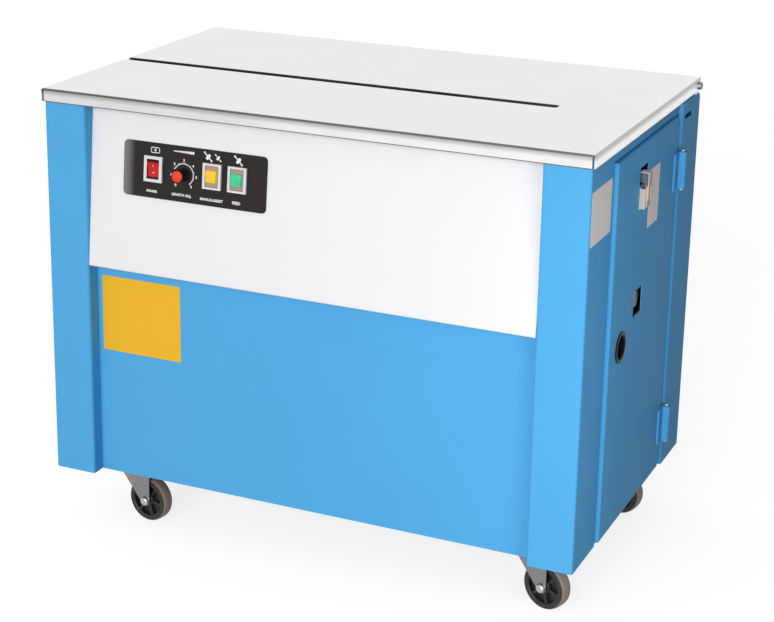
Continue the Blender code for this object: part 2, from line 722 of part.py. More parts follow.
def upper_front_panel(finish):
    front_foot = BODY_FRONT + UPPER_PANEL_FOOT_RECESS
    front_top = BODY_FRONT + UPPER_PANEL_TOP_RECESS
    path = [
        (LOWER_PANEL_Y - SEAT_GAP, UPPER_FOOT),
        (front_foot, UPPER_FOOT),
        (front_top, UPPER_TOP),
        (front_top + UPPER_PANEL_RETURN, UPPER_TOP),
    ]
    half = POST_INNER - SEAT_GAP
    shape = folded(path[::-1], THIN_SHEET, "X", -half, half, bend=0.0025)
    holes = switch_holes(SEAT_GAP)
    turn = Matrix.Rotation(math.pi / 2 - SLOPE, 4, "X")
    bmesh.ops.transform(holes, matrix=Matrix.Translation(FASCIA_CENTRE) @ turn, verts=holes.verts)
    part("upper_front_panel", finish, shape, cut=[holes])


# ---------------------------------------------------------------- table
def table_top(finish):
    low = (-HALF_LENGTH, TABLE_FRONT, FLANGE_FOOT)
    high = (HALF_LENGTH, TABLE_REAR, TABLE_HEIGHT)
    shape = box(low, high)
    upper = [e for e in shape.edges if min(v.co.z for v in e.verts) > TABLE_UNDER
             and min(v.co.y for v in e.verts) < 0]
    bmesh.ops.bevel(shape, geom=upper, offset=TABLE_BEND, segments=3, profile=0.5,
                    affect="EDGES", material=-1)
    hollow = box(
        (low[0] + TABLE_SHEET, low[1] + TABLE_SHEET, low[2] - SHEET),
        (high[0] - TABLE_SHEET, high[1] + SHEET, TABLE_UNDER),
    )
    inner = [e for e in hollow.edges if min(v.co.z for v in e.verts) > TABLE_UNDER - 1e-6
             and min(v.co.y for v in e.verts) < 0]
    bmesh.ops.bevel(hollow, geom=inner, offset=TABLE_BEND - TABLE_SHEET, segments=3,
                    profile=0.5, affect="EDGES", material=-1)
    gap_top = TABLE_HEIGHT - TABLE_BEND
    reach = TABLE_SHEET + SHEET
    corner_gaps, ends, holes = [], [], []
    for side in ("right", "left"):
        seam = box(
            (HALF_LENGTH - TABLE_CORNER_GAP, TABLE_FRONT - reach, FLANGE_FOOT - reach),
            (HALF_LENGTH - TABLE_SHEET, TABLE_FRONT + reach, gap_top),
        )
        corner_gaps.append(handed(seam, side))
        flange_end = PIVOT_Z - FLANGE_FOOT
        outline = arc((PIVOT_Y, PIVOT_Z), flange_end, -90, 0, 6)
        outline += [
            (PIVOT_Y + flange_end, TABLE_UNDER - SEAT_GAP),
            (TABLE_REAR + reach, TABLE_UNDER - SEAT_GAP),
            (TABLE_REAR + reach, FLANGE_FOOT - reach),
            (PIVOT_Y, FLANGE_FOOT - reach),
        ]
        ends.append(handed(prism(outline, "X", HALF_LENGTH - 3 * SHEET, HALF_LENGTH + SHEET), side))
        hole = rod((0, PIVOT_Y, PIVOT_Z), "X", PIVOT_SHANK_RADIUS + SEAT_GAP,
                   HALF_LENGTH - 3 * SHEET, HALF_LENGTH + SHEET, SMALL_ROUND)
        holes.append(handed(hole, side))
    half_slot = SLOT_WIDTH / 2
    slot = rounded_box(
        (-HALF_LENGTH - reach, SLOT_Y - half_slot, TABLE_HEIGHT - SLOT_FLANGE_NOTCH),
        (SLOT_END, SLOT_Y + half_slot, TABLE_HEIGHT + reach),
        half_slot - SEAT_GAP * 10, "Z",
    )
    part("table_top", finish, shape,
         cut=[hollow, merged(corner_gaps), merged(ends), merged(holes), slot],
         origin=(0, PIVOT_Y, PIVOT_Z))


def table_pivot(side, finish):
    face = HALF_LENGTH + SEAT_GAP
    inner = HALF_LENGTH - TABLE_SHEET - SEAT_GAP
    tip = FRAME_SIDE - SHEET - 2 * SHEET
    core = 0.0004
    profile = [
        (core, tip), (PIVOT_SHANK_RADIUS, tip), (PIVOT_SHANK_RADIUS, FRAME_SIDE + SEAT_GAP),
        (PIVOT_COLLAR_RADIUS, FRAME_SIDE + SEAT_GAP), (PIVOT_COLLAR_RADIUS, inner),
        (PIVOT_SHANK_RADIUS, inner), (PIVOT_SHANK_RADIUS, face), (PIVOT_HEAD_RADIUS, face),
        (PIVOT_HEAD_RADIUS, face + PIVOT_HEAD_LENGTH - 0.001),
        (PIVOT_HEAD_RADIUS - 0.001, face + PIVOT_HEAD_LENGTH),
        (core, face + PIVOT_HEAD_LENGTH),
    ]
    shape = turned((0, PIVOT_Y, PIVOT_Z), "X", profile, SMALL_ROUND)
    part(f"table_pivot_{side}", finish, handed(shape, side),
         origin=(0, PIVOT_Y, PIVOT_Z))


def strap_channel(finish):
    half = SLOT_WIDTH / 2 + CHANNEL_SHEET + SEAT_GAP
    top = TABLE_UNDER - SEAT_GAP
    left = -FRAME_SIDE
    right = HEAD_LEFT - 5 * SHEET
    outer = box((left, SLOT_Y - half, top - CHANNEL_DEPTH), (right, SLOT_Y + half, top))
    inner = box(
        (left - SHEET, SLOT_Y - half + CHANNEL_SHEET, top - CHANNEL_DEPTH + CHANNEL_SHEET),
        (right + SHEET, SLOT_Y + half - CHANNEL_SHEET, top + SHEET),
    )
    part("strap_channel", finish, outer, cut=[inner], origin=(0, PIVOT_Y, PIVOT_Z))


# ---------------------------------------------------------------- door, hinges and latch
def side_door(finish):
    low = (DOOR_FACE - DOOR_DEPTH, DOOR_FRONT, DOOR_FOOT)
    high = (DOOR_FACE, DOOR_REAR, DOOR_TOP)
    shape, hollow = pan(low, high, "right")
    inside, outside = DOOR_FACE - 2 * DOOR_DEPTH, DOOR_FACE + SHEET
    window_y = DOOR_FRONT + WINDOW_FROM_EDGE
    window_z = DOOR_TOP - WINDOW_BELOW_TOP
    window = box(
        (inside, window_y - WINDOW_WIDTH / 2, window_z - WINDOW_HEIGHT / 2),
        (outside, window_y + WINDOW_WIDTH / 2, window_z + WINDOW_HEIGHT / 2),
    )
    cutout_y = LATCH_Y - LATCH_BASE_WIDTH / 2
    cutout = box(
        (inside, cutout_y, DOOR_TOP - CUTOUT_BELOW_TOP - CUTOUT_HEIGHT),
        (outside, cutout_y + CUTOUT_WIDTH, DOOR_TOP - CUTOUT_BELOW_TOP),
    )
    cup = rod((0, DOOR_FRONT + CUP_FROM_EDGE, DOOR_TOP - CUP_BELOW_TOP), "X",
              CUP_BODY_RADIUS + SEAT_GAP, inside, outside)
    part("side_door", finish, shape, cut=[hollow, merged([window, cutout, cup])],
         origin=(HINGE_X, HINGE_Y, 0))


def door_finger_cup(finish):
    centre = (DOOR_FACE, DOOR_FRONT + CUP_FROM_EDGE, DOOR_TOP - CUP_BELOW_TOP)
    floor = -CUP_DEPTH
    inner = CUP_BODY_RADIUS - CUP_WALL
    core = 0.0005
    profile = [
        (core, floor), (CUP_BODY_RADIUS - CUP_WALL, floor),
        (CUP_BODY_RADIUS, floor + CUP_WALL), (CUP_BODY_RADIUS, SEAT_GAP),
        (CUP_RADIUS, SEAT_GAP), (CUP_RADIUS, CUP_RIM - CUP_WALL / 2),
        (CUP_RADIUS - CUP_WALL, CUP_RIM), (inner, CUP_RIM),
        (inner - CUP_WALL, CUP_RIM - CUP_WALL), (inner - CUP_WALL, floor + 2 * CUP_WALL),
        (inner - 3 * CUP_WALL, floor + CUP_WALL), (core, floor + CUP_WALL),
    ]
    shape = turned(centre, "X", profile)
    plug = rod(centre, "X", 3 * core, DOOR_FACE + floor + SEAT_GAP,
               DOOR_FACE + floor + CUP_WALL - SEAT_GAP, 12)
    part("door_finger_cup", finish, shape, add=[plug], origin=(HINGE_X, HINGE_Y, 0))


def knuckle(foot, top):
    """A square hinge knuckle with rounded corners, centred on the hinge's axis."""
    low = (HINGE_X - HINGE_HALF, HINGE_Y - HINGE_HALF, foot)
    high = (HINGE_X + HINGE_HALF, HINGE_Y + HINGE_HALF, top)
    return rounded_box(low, high, HINGE_ROUND, "Z")


def door_hinge(place, leaf_finish):
    """A lift-off hinge: the door's half above, the frame's half with the pin below."""
    middle = HINGE_CENTRES[place]
    half = HINGE_HEIGHT / 2
    top, foot = middle + half, middle - half
    split = SEAT_GAP / 2
    axis = (HINGE_X, HINGE_Y, 0)
    leaf_in, leaf_out = DOOR_FACE + SEAT_GAP, DOOR_FACE + SEAT_GAP + HINGE_LEAF
    corner = (HINGE_HALF - HINGE_ROUND) * math.sqrt(2) + HINGE_ROUND
    knuckle_gap = corner + RUN_GAP
    leaf = box((leaf_in, HINGE_Y - knuckle_gap - HINGE_LEAF_REACH, foot),
               (leaf_out, HINGE_Y - knuckle_gap, top))
    tab = box((leaf_in, HINGE_Y - 2 * knuckle_gap, middle + split + RUN_GAP),
              (leaf_out, HINGE_Y, top))
    upper = knuckle(middle + split, top)
    bore = rod(axis, "Z", HINGE_PIN_RADIUS + RUN_GAP, foot - HINGE_HALF,
               top + HINGE_HALF, SMALL_ROUND)
    part(f"hinge_door_leaf_{place}", leaf_finish, leaf, add=[tab, upper], cut=[bore],
         origin=(HINGE_X, HINGE_Y, middle))
    post_face = REAR_LIP_Y - SEAT_GAP
    back = box((DOOR_FACE - REAR_POST_LIP / 2, post_face - HINGE_LEAF, foot),
               (leaf_out, post_face, middle - split - RUN_GAP))
    neck = box((leaf_in, HINGE_Y, foot), (leaf_out, post_face, middle - split - RUN_GAP))
    lower = knuckle(foot, middle - split)
    pin = rod(axis, "Z", HINGE_PIN_RADIUS, foot - HINGE_PIN_TIP, top + HINGE_PIN_TIP, SMALL_ROUND)
    part(f"hinge_frame_leaf_{place}", leaf_finish, lower, add=[neck, back, pin],
         origin=(HINGE_X, HINGE_Y, middle))


def latch_base(finish):
    low_z = DOOR_TOP - LATCH_BASE_BELOW_TOP - LATCH_BASE_HEIGHT / 2
    high_z = low_z + LATCH_BASE_HEIGHT
    face = DOOR_FACE + SEAT_GAP
    half = LATCH_BASE_WIDTH / 2
    plate = box((face, LATCH_Y - half, low_z), (face + LATCH_PLATE, LATCH_Y + half, high_z))
    ears = []
    for edge in (LATCH_Y - half, LATCH_Y + half - LATCH_PLATE):
        ears.append(box((face, edge, low_z + LATCH_PLATE),
                        (face + LATCH_EAR_DEPTH, edge + LATCH_PLATE, high_z - LATCH_PLATE)))
    pin = rod((LATCH_PIN_X, 0, LATCH_PIN_Z), "Y", LATCH_PIN_RADIUS,
              LATCH_Y - half + LATCH_PLATE / 2, LATCH_Y + half - LATCH_PLATE / 2, 12)
    part("latch_base", finish, plate, add=[*ears, pin], origin=(HINGE_X, HINGE_Y, 0))


def latch_lever(finish):
    half = LATCH_LEVER_WIDTH / 2
    inner = DOOR_FACE + SEAT_GAP + LATCH_PLATE + RUN_GAP
    blade = box((inner, LATCH_Y - half, LATCH_PIN_Z - LATCH_LEVER_LENGTH),
                (inner + LATCH_LEVER_DEPTH, LATCH_Y + half, LATCH_PIN_Z - LATCH_PIN_RADIUS / 2))
    barrel = rod((LATCH_PIN_X, 0, LATCH_PIN_Z), "Y", LATCH_ROUND, LATCH_Y - half, LATCH_Y + half,
                 SMALL_ROUND)
    link_half = half + RUN_GAP + LATCH_ARM
    link_pin = rod((LINK_X, 0, LINK_Z), "Y", LATCH_LINK_PIN, LATCH_Y - link_half,
                   LATCH_Y + link_half, 12)
    bore = rod((LATCH_PIN_X, 0, LATCH_PIN_Z), "Y", LATCH_PIN_RADIUS + RUN_GAP,
               LATCH_Y - LATCH_BASE_WIDTH, LATCH_Y + LATCH_BASE_WIDTH, 12)
    part("latch_lever", finish, blade, add=[barrel, link_pin], cut=[bore],
         origin=(LATCH_PIN_X, LATCH_Y, LATCH_PIN_Z))


def latch_claw(finish):
    half = LATCH_LEVER_WIDTH / 2 + RUN_GAP
    out = DOOR_FACE + SEAT_GAP + LATCH_PLATE + RUN_GAP + LATCH_LEVER_DEPTH
    hook_foot = CATCH_TOP + RUN_GAP
    hook_top = hook_foot + LATCH_PLATE
    cross_foot = LATCH_PIN_Z + LATCH_ROUND + 2 * LATCH_PLATE
    plate_in, plate_out = out + RUN_GAP, out + RUN_GAP + LATCH_PLATE
    cross = box((plate_in, LATCH_Y - half - LATCH_ARM, cross_foot),
                (plate_out, LATCH_Y + half + LATCH_ARM, hook_top))
    hook = box((DOOR_FACE - LATCH_ARM, LATCH_Y - half, hook_foot),
               (plate_out - LATCH_PLATE / 3, LATCH_Y + half, hook_top))
    arms, ends = [], []
    reach = LATCH_ROUND
    for edge in (LATCH_Y - half - LATCH_ARM, LATCH_Y + half):
        arms.append(box((plate_in - 2 * LATCH_PLATE, edge, LINK_Z),
                        (plate_out, edge + LATCH_ARM, cross_foot + LATCH_PLATE)))
        ends.append(rod((LINK_X + LATCH_ARM / 3, 0, LINK_Z), "Y", reach * 0.75, edge,
                        edge + LATCH_ARM, SMALL_ROUND))
    bore = rod((LINK_X, 0, LINK_Z), "Y", LATCH_LINK_PIN + SEAT_GAP, LATCH_Y - LATCH_BASE_WIDTH,
               LATCH_Y + LATCH_BASE_WIDTH, 12)
    part("latch_claw", finish, cross, add=[hook, merged(arms), merged(ends)], cut=[bore],
         origin=(LINK_X, LATCH_Y, LINK_Z))


def door_catch(finish):
    face = FRAME_SIDE - SHEET - SEAT_GAP
    half_plate = CATCH_PLATE_WIDTH / 2
    plate = box((face - SHEET, LATCH_Y - half_plate, CATCH_TOP - CATCH_HEIGHT),
                (face, LATCH_Y + half_plate, RING_TOP - SHEET - SEAT_GAP))
    nose = box((face - SHEET, LATCH_Y - CATCH_WIDTH / 2, CATCH_TOP - CATCH_HEIGHT),
               (DOOR_FACE + CATCH_OUT, LATCH_Y + CATCH_WIDTH / 2, CATCH_TOP))
    part("door_catch", finish, plate, add=[nose])


# ---------------------------------------------------------------- control panel
def control_frame():
    """An empty on the sloped panel: its X runs right, Y up the slope and Z outwards."""
    frame = bpy.data.objects.new("control_frame", None)
    frame.location = FASCIA_CENTRE
    frame.rotation_euler = (math.pi / 2 - SLOPE, 0, 0)
    bpy.context.collection.objects.link(frame)
    return frame


def control_fascia(finish, frame):
    half_x, half_y = FASCIA_WIDTH / 2, FASCIA_HEIGHT / 2
    shape = rounded_box((-half_x, -half_y, SEAT_GAP), (half_x, half_y, SEAT_GAP + FASCIA_THICK),
                        FASCIA_CORNER, "Z")
    part("control_fascia", finish, shape, cut=[switch_holes(SEAT_GAP)], parent=frame)


def switch_bezel(name, finish, frame, place, outer, opening):
    """A moulded switch housing with its rim on the fascia, open to the front."""
    x, y = place
    face = FASCIA_THICK + 2 * SEAT_GAP
    rim = box((x - outer[0] / 2, y - outer[1] / 2, face),
              (x + outer[0] / 2, y + outer[1] / 2, face + BEZEL_PROUD))
    half_x, half_y = opening[0] / 2, opening[1] / 2
    wall = SWITCH_WALL
    body = box((x - half_x - wall, y - half_y - wall, face - SWITCH_DEPTH + wall),
               (x + half_x + wall, y + half_y + wall, face + BEZEL_PROUD / 2))
    cavity = box((x - half_x, y - half_y, face - SWITCH_DEPTH + 2 * wall),
                 (x + half_x, y + half_y, face + 2 * BEZEL_PROUD))
    part(name, finish, rim, add=[body], cut=[cavity], parent=frame)


def power_rocker(finish, frame):
    half = ROCKER_LENGTH / 2
    rise = FASCIA_THICK + BEZEL_PROUD
    outline = [(-half, rise), (0, rise - 0.0022), (half, rise), (half, -0.001),
               (half / 3, -0.007), (-half / 3, -0.007), (-half, -0.001)]
    width = ROCKER_OPENING[0] - 2 * RUN_GAP
    shape = prism(outline, "X", -width / 2, width / 2)
    rocker = part("power_rocker", finish, shape, parent=frame)
    rocker.location = (ROCKER_X, ROCKER_Y, 0)
    rocker.rotation_euler = (ROCKER_TILT, 0, 0)


def length_knob(finish, frame):
    foot = FASCIA_THICK + SEAT_GAP + RUN_GAP
    top = foot + KNOB_HEIGHT
    core = 0.0005
    profile = [
        (core, -SWITCH_DEPTH / 2), (KNOB_SHAFT, -SWITCH_DEPTH / 2), (KNOB_SHAFT, foot),
        (KNOB_RADIUS, foot), (KNOB_RADIUS, foot + KNOB_HEIGHT / 5),
        (KNOB_RADIUS * 0.9, foot + KNOB_HEIGHT / 4), (KNOB_RADIUS * 0.86, top - 0.001),
        (KNOB_RADIUS * 0.76, top), (core, top),
    ]
    centre = (KNOB_X, KNOB_Y, 0)
    plug = rod(centre, "Z", 2 * core, -SWITCH_DEPTH / 3, top - core, 12)
    part("length_knob", finish, turned(centre, "Z", profile), add=[plug], origin=centre,
         parent=frame)


def push_button(name, finish, frame, x):
    half_x = BUTTON_OPENING[0] / 2 - RUN_GAP
    half_y = BUTTON_OPENING[1] / 2 - RUN_GAP
    face = FASCIA_THICK + 2 * SEAT_GAP
    cap_x, cap_y = BUTTON_CAP[0] / 2, BUTTON_CAP[1] / 2
    base = box((x - half_x, BUTTON_Y - half_y, face - SWITCH_DEPTH / 2),
               (x + half_x, BUTTON_Y + half_y, face + 0.0015))
    cap = box((x - cap_x, BUTTON_Y - cap_y, face),
              (x + cap_x, BUTTON_Y + cap_y, face + BUTTON_RISE))
    part(name, finish, base, add=[cap], origin=(x, BUTTON_Y, 0), parent=frame)


# ---------------------------------------------------------------- casters
def caster(name, x, y, plate_finish, fork_finish, wheel_finish):
    """A swivel caster whose wheel trails towards +X."""
    roof = BODY_FOOT - SEAT_GAP
    half = CASTER_PLATE / 2
    plate_foot = roof - CASTER_PLATE_THICK
    plate = rounded_box((x - half, y - half, plate_foot), (x + half, y + half, roof), 0.006, "Z")
    boss_foot = plate_foot - CASTER_BOSS_HEIGHT
    boss = rod((x, y, 0), "Z", CASTER_BOSS_RADIUS, boss_foot, plate_foot + CASTER_PLATE_THICK / 2,
               SMALL_ROUND)
    part(f"caster_plate_{name}", plate_finish, plate, add=[boss], origin=(x, y, roof))

    swivel = bpy.data.objects.new(f"caster_turn_{name}", None)
    swivel.location = (x, y, 0)
    swivel.rotation_euler = (0, 0, CASTER_HEADINGS[name])
    bpy.context.collection.objects.link(swivel)
    crown_top = boss_foot - SEAT_GAP
    crown_foot = crown_top - FORK_SHEET
    axle_x, axle_z = CASTER_TRAIL, WHEEL_RADIUS
    inner = WHEEL_WIDTH / 2 + FORK_SIDE_GAP
    outer = inner + FORK_SHEET
    ear = arc((axle_x, axle_z), FORK_EAR_RADIUS, 205, 365, 8)
    ear += [(axle_x + FORK_EAR_RADIUS, crown_top), (-FORK_CROWN_RADIUS, crown_top),
            (-FORK_CROWN_RADIUS, crown_foot - 2 * FORK_SHEET)]
    ears = [prism(ear, "Y", -outer, -inner), prism(ear, "Y", inner, outer)]
    crown = box((-FORK_CROWN_RADIUS, -outer + FORK_SHEET / 4, crown_foot),
                (axle_x + FORK_EAR_RADIUS - FORK_SHEET / 4, outer - FORK_SHEET / 4, crown_top))
    centre = (axle_x, 0, axle_z)
    axle = rod(centre, "Y", AXLE_RADIUS, -outer - FORK_SHEET / 2, outer + FORK_SHEET / 2,
               SMALL_ROUND)
    heads = [
        rod(centre, "Y", AXLE_HEAD_RADIUS, -outer - AXLE_HEAD_LENGTH, -outer + FORK_SHEET / 3, 6),
        rod(centre, "Y", AXLE_HEAD_RADIUS, outer - FORK_SHEET / 3, outer + AXLE_HEAD_LENGTH, 6),
    ]
    part(f"caster_fork_{name}", fork_finish, crown, add=[*ears, axle, *heads],
         origin=(0, 0, crown_top), parent=swivel)

    bore = AXLE_RADIUS + RUN_GAP
    half_width, half_web = WHEEL_WIDTH / 2, WHEEL_WEB / 2
    rim_in, crown_drop = WHEEL_RADIUS - WHEEL_RIM, 0.0025
    profile = [
        (bore, -half_width), (WHEEL_HUB_RADIUS, -half_width), (WHEEL_HUB_RADIUS, -half_web),
        (rim_in, -half_web), (rim_in, -half_width), (WHEEL_RADIUS - crown_drop, -half_width),
        (WHEEL_RADIUS, -half_width + 2 * crown_drop), (WHEEL_RADIUS, half_width - 2 * crown_drop),
        (WHEEL_RADIUS - crown_drop, half_width), (rim_in, half_width), (rim_in, half_web),
        (WHEEL_HUB_RADIUS, half_web), (WHEEL_HUB_RADIUS, half_width), (bore, half_width),
    ]
    part(f"caster_wheel_{name}", wheel_finish, turned((axle_x, 0, axle_z), "Y", profile),
         origin=(axle_x, 0, axle_z), parent=swivel)


# ---------------------------------------------------------------- strap reel
def reel_bracket(finish):
    floor = BODY_FOOT + SHEET + SEAT_GAP
    right = REEL_START - SHEET - BRACKET_PLATE / 2
    left = right - BRACKET_PLATE
    half = BRACKET_WIDTH / 2
    outline = [(REEL_Y - half, floor), (REEL_Y + half, floor)]
    outline += arc((REEL_Y, REEL_Z), 2 * REEL_BOSS_RADIUS, -10, 190, 12)
    upright = prism(outline, "X", left, right)
    foot = box((right - BRACKET_FOOT, REEL_Y - half, floor),
               (right - BRACKET_PLATE / 4, REEL_Y + half, floor + BRACKET_PLATE))
    nut_foot = REEL_START + REEL_WIDTH + 2 * REEL_DISC
    axle = rod((0, REEL_Y, REEL_Z), "X", REEL_AXLE_RADIUS, left + BRACKET_PLATE / 2,
               nut_foot + NUT_LENGTH / 2)
    part("reel_bracket", finish, upright, add=[foot, axle])


def strap_reel(steel, disc_finish, strap, nylon):
    origin = (REEL_START, REEL_Y, REEL_Z)
    bore = REEL_AXLE_RADIUS + RUN_GAP
    core_in = REEL_CORE_RADIUS - REEL_WALL
    drum_end = REEL_DISC + REEL_WIDTH
    profile = [
        (bore, 0), (REEL_RADIUS, 0), (REEL_RADIUS, REEL_DISC), (REEL_CORE_RADIUS, REEL_DISC),
        (REEL_CORE_RADIUS, drum_end), (core_in, drum_end), (core_in, REEL_DISC),
        (REEL_BOSS_RADIUS, REEL_DISC), (REEL_BOSS_RADIUS, drum_end), (bore, drum_end),
    ]
    part("reel_hub", steel, turned(origin, "X", profile), origin=origin)
    outer_foot = drum_end + SEAT_GAP
    spokes = []
    for number in range(5):
        angle = 2 * math.pi * number / 5
        radius = (REEL_CORE_RADIUS + REEL_BOSS_RADIUS) / 2
        spot = (0, REEL_Y + radius * math.cos(angle), REEL_Z + radius * math.sin(angle))
        spokes.append(rod(spot, "X", REEL_BOSS_RADIUS, REEL_START + outer_foot - REEL_DISC,
                          REEL_START + outer_foot + 2 * REEL_DISC, SMALL_ROUND))
    disc = [(bore, outer_foot), (REEL_RADIUS, outer_foot), (REEL_RADIUS, outer_foot + REEL_DISC),
            (bore, outer_foot + REEL_DISC)]
    part("reel_outer_disc", disc_finish, turned(origin, "X", disc), cut=[merged(spokes)],
         origin=origin)
    coil = [(REEL_CORE_RADIUS + SEAT_GAP, REEL_DISC + SEAT_GAP), (COIL_RADIUS, REEL_DISC + SEAT_GAP),
            (COIL_RADIUS, drum_end - SEAT_GAP), (REEL_CORE_RADIUS + SEAT_GAP, drum_end - SEAT_GAP)]
    part("strap_coil", strap, turned(origin, "X", coil), origin=origin)
    nut_foot = outer_foot + REEL_DISC + SEAT_GAP
    nut_end = nut_foot + NUT_LENGTH
    bore_end = nut_foot + NUT_LENGTH / 2 + 2 * SHEET
    core = 0.0005
    nut = [
        (bore, nut_foot), (NUT_RADIUS * 1.5, nut_foot), (NUT_RADIUS * 1.5, nut_foot + REEL_DISC),
        (NUT_RADIUS, nut_foot + 2 * REEL_DISC), (NUT_RADIUS, nut_end - REEL_DISC / 2),
        (NUT_RADIUS - REEL_DISC / 2, nut_end), (core, nut_end), (core, bore_end), (bore, bore_end),
    ]
    plug = rod((0, REEL_Y, REEL_Z), "X", 3 * core, REEL_START + bore_end + core,
               REEL_START + nut_end - core, 12)
    part("reel_nut", nylon, turned(origin, "X", nut), add=[plug], origin=origin)


# ---------------------------------------------------------------- strapping head
def mechanism_shelf(finish):
    low = (SHELF_LEFT, FRAME_FRONT, SHELF_TOP - SHELF_FLANGE)
    high = (SHELF_RIGHT, FRAME_REAR, SHELF_TOP)
    under = box((low[0] + SHEET, low[1] + SHEET, low[2] - SHEET),
                (high[0] - SHEET, high[1] - SHEET, high[2] - SHEET))
    strap_slot = rounded_box((HEAD_LEFT - 4 * HEAD_CHEEK, SLOT_Y - SLOT_WIDTH, SHELF_TOP - 2 * SHEET),
                             (HEAD_LEFT - HEAD_CHEEK, SLOT_Y + SLOT_WIDTH, SHELF_TOP + SHEET),
                             0.004, "Z")
    part("mechanism_shelf", finish, box(low, high), cut=[under, strap_slot])


def roller_plate():
    """The head frame's plate that carries the feed and pinch rollers."""
    base = SHELF_TOP + SEAT_GAP
    front = SLOT_Y - FEED_LENGTH * 0.85
    return box((FEED_X_PLACE - FEED_RADIUS - 0.004, front - HEAD_CHEEK, base),
               (HEAD_RIGHT - HEAD_CHEEK / 2, front, PINCH_Z + PINCH_RADIUS))


def head_frame(finish):
    base = SHELF_TOP + SEAT_GAP
    top = TABLE_HEIGHT - ANVIL_DROP - ANVIL_THICK - RUN_GAP
    floor = box((HEAD_LEFT, HEAD_FRONT, base), (HEAD_RIGHT, HEAD_REAR, base + HEAD_BASE))
    cheeks = [
        box((HEAD_LEFT, HEAD_FRONT, base), (HEAD_LEFT + HEAD_CHEEK, HEAD_REAR, top)),
        box((HEAD_RIGHT - HEAD_CHEEK, HEAD_FRONT, base), (HEAD_RIGHT, HEAD_REAR, top)),
    ]
    bridge_front = SLOT_Y - PRESS_DEPTH
    bridge = box((HEAD_LEFT + HEAD_CHEEK / 2, bridge_front, BRIDGE_TOP - BRIDGE_THICK),
                 (HEAD_RIGHT - HEAD_CHEEK / 2, HEAD_REAR - HEAD_CHEEK, BRIDGE_TOP))
    gap = RUN_GAP
    press = box(
        (PRESS_X - PRESS_WIDTH / 2 - gap, SLOT_Y - PRESS_DEPTH / 2 - gap, BRIDGE_TOP - 0.03),
        (PRESS_X + PRESS_WIDTH / 2 + gap, SLOT_Y + PRESS_DEPTH / 2 + gap, BRIDGE_TOP + 0.01),
    )
    shaft = rod((0, CAM_Y, CAM_Z), "X", CAM_SHAFT_RADIUS + gap, HEAD_LEFT - 0.01,
                HEAD_RIGHT + 0.01, SMALL_ROUND)
    rollers = [
        rod((FEED_X_PLACE, 0, z), "Y", ROLLER_SHAFT + gap, HEAD_FRONT, SLOT_Y, SMALL_ROUND)
        for z in (FEED_Z, PINCH_Z)
    ]
    part("head_frame", finish, floor, add=[*cheeks, bridge, roller_plate()],
         cut=[press, shaft, merged(rollers)])


def cam_outline():
    """A round cam with one rounded lobe, which points down at rest."""
    flank = 40
    base = arc((CAM_Y, CAM_Z), CAM_BASE_RADIUS, -90 + flank, 270 - flank, 20)
    nose_radius = CAM_BASE_RADIUS * 0.45
    nose_centre = (CAM_Y, CAM_Z - CAM_BASE_RADIUS - CAM_LIFT + nose_radius)
    return base + arc(nose_centre, nose_radius, 270 - flank, 270 + flank, 6)


def camshaft(finish):
    shaft = rod((0, CAM_Y, CAM_Z), "X", CAM_SHAFT_RADIUS, HEAD_LEFT - GEARBOX_LENGTH / 4,
                HEAD_RIGHT + 0.004, SMALL_ROUND)
    cams = []
    for x in (HEAD_LEFT + 0.028, PRESS_X - CAM_THICK / 2, HEAD_LEFT + 0.112):
        cams.append(prism(cam_outline(), "X", x, x + CAM_THICK))
    part("camshaft", finish, shaft, add=[merged(cams)], origin=(PRESS_X, CAM_Y, CAM_Z))


def seal_press(finish):
    foot = CAM_Z + CAM_BASE_RADIUS + CAM_LIFT + RUN_GAP
    low = (PRESS_X - PRESS_WIDTH / 2, SLOT_Y - PRESS_DEPTH / 2, foot)
    high = (PRESS_X + PRESS_WIDTH / 2, SLOT_Y + PRESS_DEPTH / 2, TABLE_HEIGHT - PRESS_TOP_DROP)
    groove = box((PRESS_X - PRESS_WIDTH, SLOT_Y - PRESS_DEPTH / 6, high[2] - 0.001),
                 (PRESS_X + PRESS_WIDTH, SLOT_Y + PRESS_DEPTH / 6, high[2] + 0.001))
    part("seal_press", finish, box(low, high), cut=[groove], origin=(PRESS_X, SLOT_Y, foot))


def heater_blade(finish):
    tip = SLOT_Y + PRESS_DEPTH / 2 + BLADE_TIP_GAP
    top = TABLE_HEIGHT - BLADE_DROP
    carriage_front = tip + BLADE_REACH
    blade = box((PRESS_X - BLADE_WIDTH / 2, tip, top - BLADE_THICK),
                (PRESS_X + BLADE_WIDTH / 2, carriage_front + BLADE_WIDTH, top))
    carriage = box((PRESS_X - CARRIAGE_WIDTH / 2, carriage_front, BRIDGE_TOP + RUN_GAP),
                   (PRESS_X + CARRIAGE_WIDTH / 2, carriage_front + CARRIAGE_LENGTH,
                    top - BLADE_THICK / 2))
    part("heater_blade", finish, carriage, add=[blade], origin=(PRESS_X, tip, top))


def slide_anvil(finish):
    top = TABLE_HEIGHT - ANVIL_DROP
    low = (HEAD_LEFT + SHEET, SLOT_Y - ANVIL_DEPTH / 2, top - ANVIL_THICK)
    high = (HEAD_RIGHT - SHEET, SLOT_Y + ANVIL_DEPTH / 2, top)
    part("slide_anvil", finish, box(low, high), origin=(PRESS_X, SLOT_Y, top))


def roller(name, finish, z, radius):
    front = SLOT_Y - FEED_LENGTH * 0.85
    start, end = front + RUN_GAP, front + RUN_GAP + FEED_LENGTH
    centre = (FEED_X_PLACE, 0, z)
    tyre = rod(centre, "Y", radius, start, end, ROUND)
    shaft = rod(centre, "Y", ROLLER_SHAFT, front - HEAD_CHEEK - SHEET, end + SHEET, SMALL_ROUND)
    part(name, finish, tyre, add=[shaft], origin=(FEED_X_PLACE, front, z))


